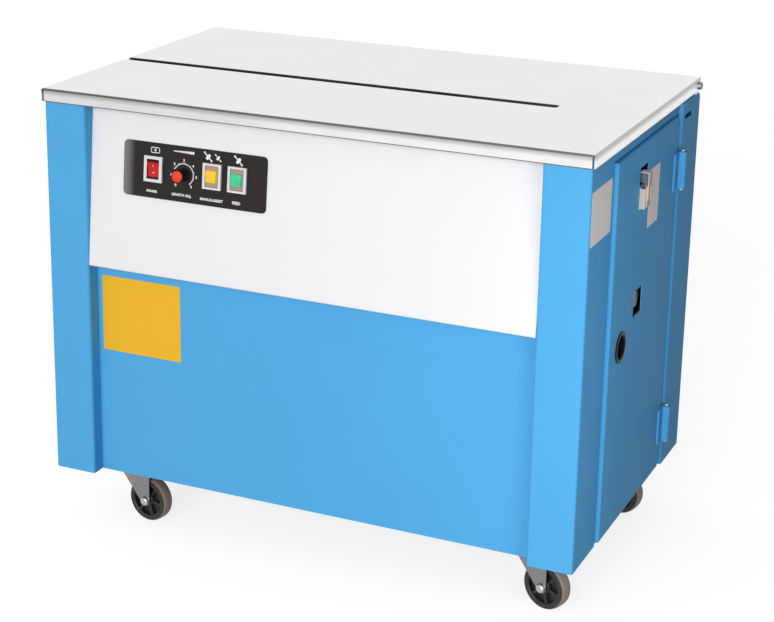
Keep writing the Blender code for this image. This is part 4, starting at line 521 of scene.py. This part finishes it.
# The strap-length scale: an arc with ticks, and the numbers 0 to 6 round it.
scale_marks = bmesh.new()
ARC_RADIUS = 0.0163
ARC_START = math.radians(-52)
ARC_SWEEP = math.radians(205)
arc_outline = [(ARC_RADIUS, 0), (ARC_RADIUS + 0.0011, 0), (ARC_RADIUS + 0.0011, INK),
               (ARC_RADIUS, INK)]
ring(scale_marks, arc_outline, 40, ARC_SWEEP)
bmesh.ops.rotate(scale_marks, cent=(0, 0, 0), verts=scale_marks.verts,
                 matrix=Matrix.Rotation(ARC_START, 3, "Z"))
bmesh.ops.translate(scale_marks, vec=(*KNOB_SPOT, 0), verts=scale_marks.verts)
for tick in range(19):
    angle = ARC_START + ARC_SWEEP * tick / 18
    heading = Vector((math.cos(angle), math.sin(angle)))
    middle = Vector(KNOB_SPOT)
    reach = 0.0032 if tick % 3 == 0 else 0.0020
    bar(scale_marks, middle + heading * ARC_RADIUS, middle + heading * (ARC_RADIUS + reach), 0.0008)
piece("length_scale", settled(scale_marks, PANEL), white_ink, "cabinet")
for number in range(7):
    angle = math.radians(232 - number * 47.3)
    spot = (KNOB_SPOT[0] + 0.0220 * math.cos(angle), KNOB_SPOT[1] + 0.0220 * math.sin(angle))
    words_on_panel(f"scale_number_{number}", str(number), 0.0058, spot)

# Signs above the controls.
signs = bmesh.new()
frame_x, frame_y = ROCKER_SPOT[0] + 0.0015, 0.0318
SIGN_LINE = 0.0011
for sign in (-1, 1):
    line_y, line_x = frame_y + sign * 0.0040, frame_x + sign * 0.0072
    bar(signs, (frame_x - 0.0066, line_y), (frame_x + 0.0066, line_y), SIGN_LINE)
    bar(signs, (line_x, frame_y - 0.0034), (line_x, frame_y + 0.0034), SIGN_LINE)
bar(signs, (frame_x, frame_y - 0.0026), (frame_x, frame_y + 0.0026), 0.0014)
bar(signs, (frame_x - 0.0022, frame_y), (frame_x + 0.0022, frame_y), 0.0012)
for step in range(9):
    left = KNOB_SPOT[0] - 0.018 + step * 0.0040
    height = 0.0014 + step * 0.00036
    bar(signs, (left, 0.0345), (left + 0.0032, 0.0345), height)
feed_sign(signs, (RESET_SPOT[0] - 0.0088, 0.0322), 0.0130)
feed_sign(signs, (RESET_SPOT[0] + 0.0082, 0.0322), 0.0095)
feed_sign(signs, (FEED_SPOT[0], 0.0322), 0.0130)
piece("control_signs", settled(signs, PANEL), white_ink, "cabinet")

# A black liner stands inside the power switch's frame, round the rocker.
liner = bmesh.new()
for sign in (-1, 1):
    x, y = ROCKER_SPOT
    block(liner, (x + sign * 0.01058 - 0.00012, y - 0.0154, RIM_FACE - 0.0160),
          (x + sign * 0.01058 + 0.00012, y + 0.0154, RIM_FACE - 0.0004))
    block(liner, (x - 0.0104, y + sign * 0.0140 - 0.0013, RIM_FACE - 0.0160),
          (x + 0.0104, y + sign * 0.0140 + 0.0013, RIM_FACE - 0.0010))
piece("power_switch_liner", settled(liner, PANEL), black_abs, "cabinet")

# Rocker marks: a ring for off and a bar for on.
rocker_place = (PANEL @ Matrix.Translation((*ROCKER_SPOT, -PANEL_DEPTH))
                @ Matrix.Rotation(math.radians(8), 4, "X"))
marks = bmesh.new()
ring(marks, [(0.0014, 0.0), (0.0021, 0.0), (0.0021, 0.0012), (0.0014, 0.0012)], 24,
     centre=(0, -0.0062, 0.0038))
block(marks, (-0.0004, 0.0042, 0.0038), (0.0004, 0.0082, 0.0052))
piece("rocker_marks", settled(marks, rocker_place), white_ink, "rocker")


def button(name, spot, body, finish, node):
    """A square push button: a proud cap on a smoked bed, both in the frame's opening."""
    x, y = spot
    cap = bmesh.new()
    corners = bmesh.ops.create_cube(cap, size=1.0)["verts"]
    bmesh.ops.scale(cap, vec=(0.0214, 0.0205, 0.0080), verts=corners)
    face = [vert for vert in corners if vert.co.z > 0]
    bmesh.ops.scale(cap, vec=(0.80, 0.90, 1.0), verts=face)
    bmesh.ops.translate(cap, vec=(x, y, RIM_FACE - 0.0020), verts=corners)
    bmesh.ops.translate(cap, vec=(-0.0012, 0, 0), verts=face)
    bmesh.ops.bevel(cap, geom=list(cap.edges), offset=0.0007, segments=3, profile=0.5,
                    affect="EDGES", material=-1)
    made = piece(f"{name}_cap", settled(cap, PANEL), finish, body)
    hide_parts(node)
    bed = bmesh.new()
    half_bed = Vector((0.0111, 0.0161, 0.0))
    block(bed, Vector((x, y, RIM_FACE - 0.013)) - half_bed,
          Vector((x, y, RIM_FACE - 0.0014)) + half_bed, 0.0003, 1)
    piece(f"{name}_bed", settled(bed, PANEL), smoked, body)


button("reset", RESET_SPOT, "reset", yellow_lens, "reset_button")
button("feed", FEED_SPOT, "feed", green_lens, "feed_button")

# The knob: a ribbed black skirt with a pressed-in red cap.
knob_joint = joints["length_knob_turn"]
knob_place = axis_place(knob_joint["pos_m"], knob_joint["axis"])
knob = bmesh.new()
KNOB_FOOT, KNOB_HEAD = 0.0027, 0.0235
ring(knob, [(0.0, KNOB_FOOT), (0.0104, KNOB_FOOT), (0.0104, 0.0062), (0.0092, 0.0074),
            (0.0084, KNOB_HEAD - 0.0008), (0.0078, KNOB_HEAD), (0.0, KNOB_HEAD)], 48)
for rib in range(18):
    angle = math.tau * rib / 18
    made = bmesh.ops.create_cone(knob, cap_ends=True, segments=8, radius1=0.00075, radius2=0.0006,
                                 depth=0.0145)["verts"]
    reach = Vector((math.cos(angle) * 0.0088, math.sin(angle) * 0.0088, 0.0150))
    bmesh.ops.translate(knob, vec=reach, verts=made)
knob_piece = piece("knob_skirt", settled(knob, knob_place), black_abs, "knob")
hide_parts("length_knob")
cap = bmesh.new()
disc(cap, (0, 0), 0.0086, KNOB_HEAD - 0.0030, KNOB_HEAD + 0.0002, 48, 0.0007)
piece("knob_red_cap", settled(cap, knob_place), red_abs, "knob")


# ------------------------------------------------------------------ labels, bare
def label(name, low, high, finish, body, rounding=0.0015):
    """A stuck-on label with nothing printed on it."""
    shape = bmesh.new()
    block(shape, low, high)
    thin = min(range(3), key=lambda i: high[i] - low[i])
    upright = [edge for edge in shape.edges
               if abs(edge.verts[0].co[thin] - edge.verts[1].co[thin]) > 1e-6]
    bmesh.ops.bevel(shape, geom=upright, offset=rounding, segments=3, profile=0.5,
                    affect="EDGES", material=-1)
    return piece(name, settled(shape), finish, body)


GLUE, VINYL = 0.00002, 0.00025
panel_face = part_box("lower_front_panel")[0][1]
label("front_label", (-0.3627, panel_face - VINYL, 0.3100), (-0.2215, panel_face - GLUE, 0.4354),
      yellow_vinyl, "cabinet")
post_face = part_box("front_post_right")[1][0]
label("post_label", (post_face + GLUE, -0.2730, 0.5990), (post_face + VINYL, -0.1800, 0.6790),
      label_vinyl, "cabinet")
door_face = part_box("side_door")[1][0]
label("door_label", (door_face + GLUE, -0.0050, 0.5570), (door_face + VINYL, 0.0500, 0.6480),
      label_vinyl, "door")


# ------------------------------------------------------------------ casters
def caster_wheel(corner):
    """A moulded wheel: rubber tread on a black core with spokes and a bush."""
    joint = joints[f"wheel_spin_{corner}"]
    place = axis_place(joint["pos_m"], joint["axis"])
    body = f"wheel_{corner}"
    tread = bmesh.new()
    ring(tread, [(0.0330, -0.0098), (0.0356, -0.0104), (0.0368, -0.0088), (0.0375, -0.0050),
                 (0.0375, 0.0050), (0.0368, 0.0088), (0.0356, 0.0104), (0.0330, 0.0098)], 64)
    made = piece(f"wheel_tread_{corner}", settled(tread, place), tread_rubber, body)
    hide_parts(f"caster_wheel_{corner}")
    core = bmesh.new()
    ring(core, [(0.0268, -0.0108), (0.0282, -0.0118), (0.0340, -0.0118), (0.0354, -0.0104),
                (0.0340, -0.0090), (0.0340, 0.0090), (0.0354, 0.0104), (0.0340, 0.0118),
                (0.0282, 0.0118), (0.0268, 0.0108)], 64)
    ring(core, [(0.0100, -0.0030), (0.0272, -0.0030), (0.0272, 0.0030), (0.0100, 0.0030)], 64)
    ring(core, [(0.0046, -0.0119), (0.0100, -0.0119), (0.0114, -0.0100), (0.0114, 0.0100),
                (0.0100, 0.0119), (0.0046, 0.0119)], 48)
    for spoke in range(6):
        angle = math.tau * spoke / 6
        rib = bmesh.ops.create_cube(core, size=1.0)["verts"]
        bmesh.ops.scale(core, vec=(0.0175, 0.0048, 0.0190), verts=rib)
        bmesh.ops.translate(core, vec=(0.0190, 0, 0), verts=rib)
        bmesh.ops.rotate(core, cent=(0, 0, 0), matrix=Matrix.Rotation(angle, 3, "Z"), verts=rib)
    piece(f"wheel_core_{corner}", settled(core, place), wheel_nylon, body)


def axle_rivets(corner):
    """The axle's two riveted heads, round and bright, on the outside of the fork's ears."""
    joint = joints[f"wheel_spin_{corner}"]
    axle = axis_place(joint["pos_m"], joint["axis"])
    heads = bmesh.new()
    dome = [(0.0, 0.0158), (0.0072, 0.0158), (0.0072, 0.0192), (0.0066, 0.0202),
            (0.0050, 0.0210), (0.0028, 0.0215), (0.0, 0.0217)]
    ring(heads, dome, 40)
    ring(heads, [(radius, -height) for radius, height in reversed(dome)], 40)
    piece(f"axle_rivets_{corner}", settled(heads, axle), rivet_zinc_painted_highlight, f"swivel_{corner}")


for corner in ("front_left", "front_right", "rear_left", "rear_right"):
    caster_wheel(corner)
    axle_rivets(corner)


# ------------------------------------------------------------------ small hardware
for place_name in ("upper", "lower"):
    low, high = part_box(f"hinge_frame_leaf_{place_name}")
    hinge = joints["door_hinge"]["pos_m"]
    pin = bmesh.new()
    disc(pin, hinge, 0.0036, high[2] - 0.0020, high[2] + 0.0001, 24, 0.0005)
    disc(pin, hinge, 0.0036, low[2] - 0.0001, low[2] + 0.0020, 24, 0.0005)
    piece(f"hinge_pin_ends_{place_name}", settled(pin), nickel, "cabinet")
for side_name, sign in (("left", -1), ("right", 1)):
    low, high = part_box(f"table_pivot_{side_name}")
    outer = high[0] if sign > 0 else low[0]
    bolt = bmesh.new()
    ring(bolt, [(0.0, -0.0175), (0.0062, -0.0175), (0.0062, -0.0008), (0.0055, 0.0), (0.0036, 0.0),
                (0.0033, -0.0003), (0.0033, -0.0032), (0.0, -0.0032)], 48)
    spot = (outer, joints["table_hinge"]["pos_m"][1], joints["table_hinge"]["pos_m"][2])
    place = axis_place(spot, (sign, 0, 0))
    made = piece(f"pivot_bolt_{side_name}", settled(bolt, place), zinc, "cabinet")
    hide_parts(f"table_pivot_{side_name}")
    # Painted shade: a black disc at the bottom of the bolt's socket stands in for the shade in the
    # recess.
    socket_shade = bmesh.new()
    ring(socket_shade, [(0.0, -0.0034), (0.0032, -0.0034), (0.0032, -0.0022), (0.0, -0.0022)], 6)
    piece(f"pivot_socket_shade_{side_name}", settled(socket_shade, place), black_abs, "cabinet")


# A folded strip closes the door opening behind the hinge gap.
hinge_spot = joints["door_hinge"]["pos_m"]
door_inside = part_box("side_door")[0][0]
jamb = bmesh.new()
block(jamb, (door_inside - 0.0036, hinge_spot[1] - 0.0135, 0.1315),
      (door_inside - 0.0016, hinge_spot[1] + 0.0115, 0.6970), 0.0004, 2)
# It takes the darker copy of the blue coat, which is painted shade.
piece("door_jamb_strip", settled(jamb), inner_coat_painted_shade, "cabinet")

# Painted shade in the strap slot: a thin dark strip stands along each of its long edges.
table_low, table_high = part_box("table_top")
SLOT_MIDDLE, SLOT_HALF, SLOT_RIGHT = -0.0265, 0.0095, 0.3085
HALF_SHADE_STRIP = 0.00022
edges = bmesh.new()
for sign in (-1, 1):
    y = SLOT_MIDDLE + sign * (SLOT_HALF - 0.00025)
    block(edges, (table_low[0] + 0.0030, y - HALF_SHADE_STRIP, table_high[2] - 0.0062),
          (SLOT_RIGHT - 0.0045, y + HALF_SHADE_STRIP, table_high[2] - 0.0003))
piece("slot_painted_shade_strips", settled(edges), black_oxide, "table")


# ------------------------------------------------------------------ studio
FLOOR_AS_LIGHT = "808080"
FLOOR_AS_SEEN = "A2A2A2"
FLOOR_GLOW = 0.80
FILL_HEADING = (-0.85, -0.15, 0.50)
KEY_HEADING = Vector((0.04, -0.97, 0.19))
KEY_STRENGTH = 2.42
SIDE_SPOT = (0.98, -0.76, 0.44)
SIDE_TARGET = Vector((0.45, -0.20, 0.42))
SIDE_POWER = 2.7


def seen_rays(tree):
    """One for a ray from the eye, a mirror or a pane; zero for one that lights a surface."""
    path = add_node(tree, "ShaderNodeLightPath")
    seen = add_node(tree, "ShaderNodeMath", {"operation": "MAXIMUM"},
                    links={0: path.outputs["Is Camera Ray"], 1: path.outputs["Is Glossy Ray"]})
    clear = add_node(tree, "ShaderNodeMath", {"operation": "MAXIMUM"},
                     links={0: seen.outputs["Value"], 1: path.outputs["Is Transmission Ray"]})
    return clear.outputs["Value"]


def studio_floor():
    """A pale seamless floor: it shows white to the camera and keeps a soft contact shadow."""
    made, tree = blank("pale_studio_paper")
    seen = seen_rays(tree)
    paper = add_node(tree, "ShaderNodeBsdfDiffuse", values={"Color": linear_colour(FLOOR_AS_LIGHT)})
    shown = add_node(tree, "ShaderNodeBsdfDiffuse", values={"Color": linear_colour(FLOOR_AS_SEEN)})
    glow = add_node(tree, "ShaderNodeEmission",
                    values={"Color": (1, 1, 1, 1), "Strength": FLOOR_GLOW})
    bright = add_node(tree, "ShaderNodeAddShader", links={0: shown.outputs["BSDF"],
                                                          1: glow.outputs["Emission"]})
    both = add_node(tree, "ShaderNodeMixShader", links={0: seen, 1: paper.outputs["BSDF"],
                                                        2: bright.outputs["Shader"]})
    add_node(tree, "ShaderNodeOutputMaterial", links={"Surface": both.outputs["Shader"]})
    shape = bmesh.new()
    bmesh.ops.create_grid(shape, x_segments=1, y_segments=1, size=14)
    mesh = bpy.data.meshes.new("studio_floor")
    shape.to_mesh(mesh)
    shape.free()
    mesh.materials.append(made)
    floor = bpy.data.objects.new("studio_floor", mesh)
    floor.location.z = -0.0005
    bpy.context.collection.objects.link(floor)


def studio_light():
    """A white surround for the eye and for reflections, an even fill, and one broad key light."""
    world = bpy.data.worlds.new("studio_surround")
    bpy.context.scene.world = world
    world.use_nodes = True
    tree = world.node_tree
    tree.nodes.clear()
    # The fill comes mostly from above and the operator's left; the right end lies in shade.
    heading = add_node(tree, "ShaderNodeTexCoord").outputs["Generated"]
    lean = add_node(tree, "ShaderNodeVectorMath", {"operation": "DOT_PRODUCT"},
                    {1: FILL_HEADING}, {0: heading})
    sky = add_node(tree, "ShaderNodeMapRange",
                   values={"From Min": -0.5, "From Max": 0.8, "To Min": 0.03, "To Max": 0.67},
                   links={"Value": lean.outputs["Value"]})
    strength = add_node(tree, "ShaderNodeMapRange", values={"To Max": 1.0},
                        links={"Value": seen_rays(tree), "To Min": sky.outputs["Result"]})
    # The shaded side takes a cooler light than the open side.
    warmth = add_node(tree, "ShaderNodeMapRange", values={"From Min": -0.6, "From Max": 0.1},
                      links={"Value": lean.outputs["Value"]})
    open_side = add_node(tree, "ShaderNodeMath", {"operation": "MAXIMUM"},
                         links={0: warmth.outputs["Result"], 1: seen_rays(tree)})
    tint = add_node(tree, "ShaderNodeMix", {"data_type": "RGBA"},
                    links={"Factor": open_side.outputs["Value"]})
    tint.inputs[6].default_value = (0.75, 0.55, 1.0, 1)
    tint.inputs[7].default_value = (1, 1, 1, 1)
    fill = add_node(tree, "ShaderNodeBackground",
                    links={"Color": tint.outputs[2], "Strength": strength.outputs["Result"]})
    add_node(tree, "ShaderNodeOutputWorld", links={"Surface": fill.outputs["Background"]})
    key_data = bpy.data.lights.new("key_light", "SUN")
    key_data.energy = KEY_STRENGTH
    key_data.angle = math.radians(35)
    key = bpy.data.objects.new("key_light", key_data)
    key.rotation_euler = KEY_HEADING.to_track_quat("Z", "Y").to_euler()
    bpy.context.collection.objects.link(key)
    side_data = bpy.data.lights.new("side_light", "AREA")
    side_data.energy = SIDE_POWER
    side_data.size = 0.45
    side_data.color = (0.88, 0.97, 1.05)
    side_light = bpy.data.objects.new("side_light", side_data)
    side_light.location = SIDE_SPOT
    aim = Vector(SIDE_SPOT) - SIDE_TARGET
    side_light.rotation_euler = aim.to_track_quat("Z", "Y").to_euler()
    bpy.context.collection.objects.link(side_light)


studio_floor()
studio_light()
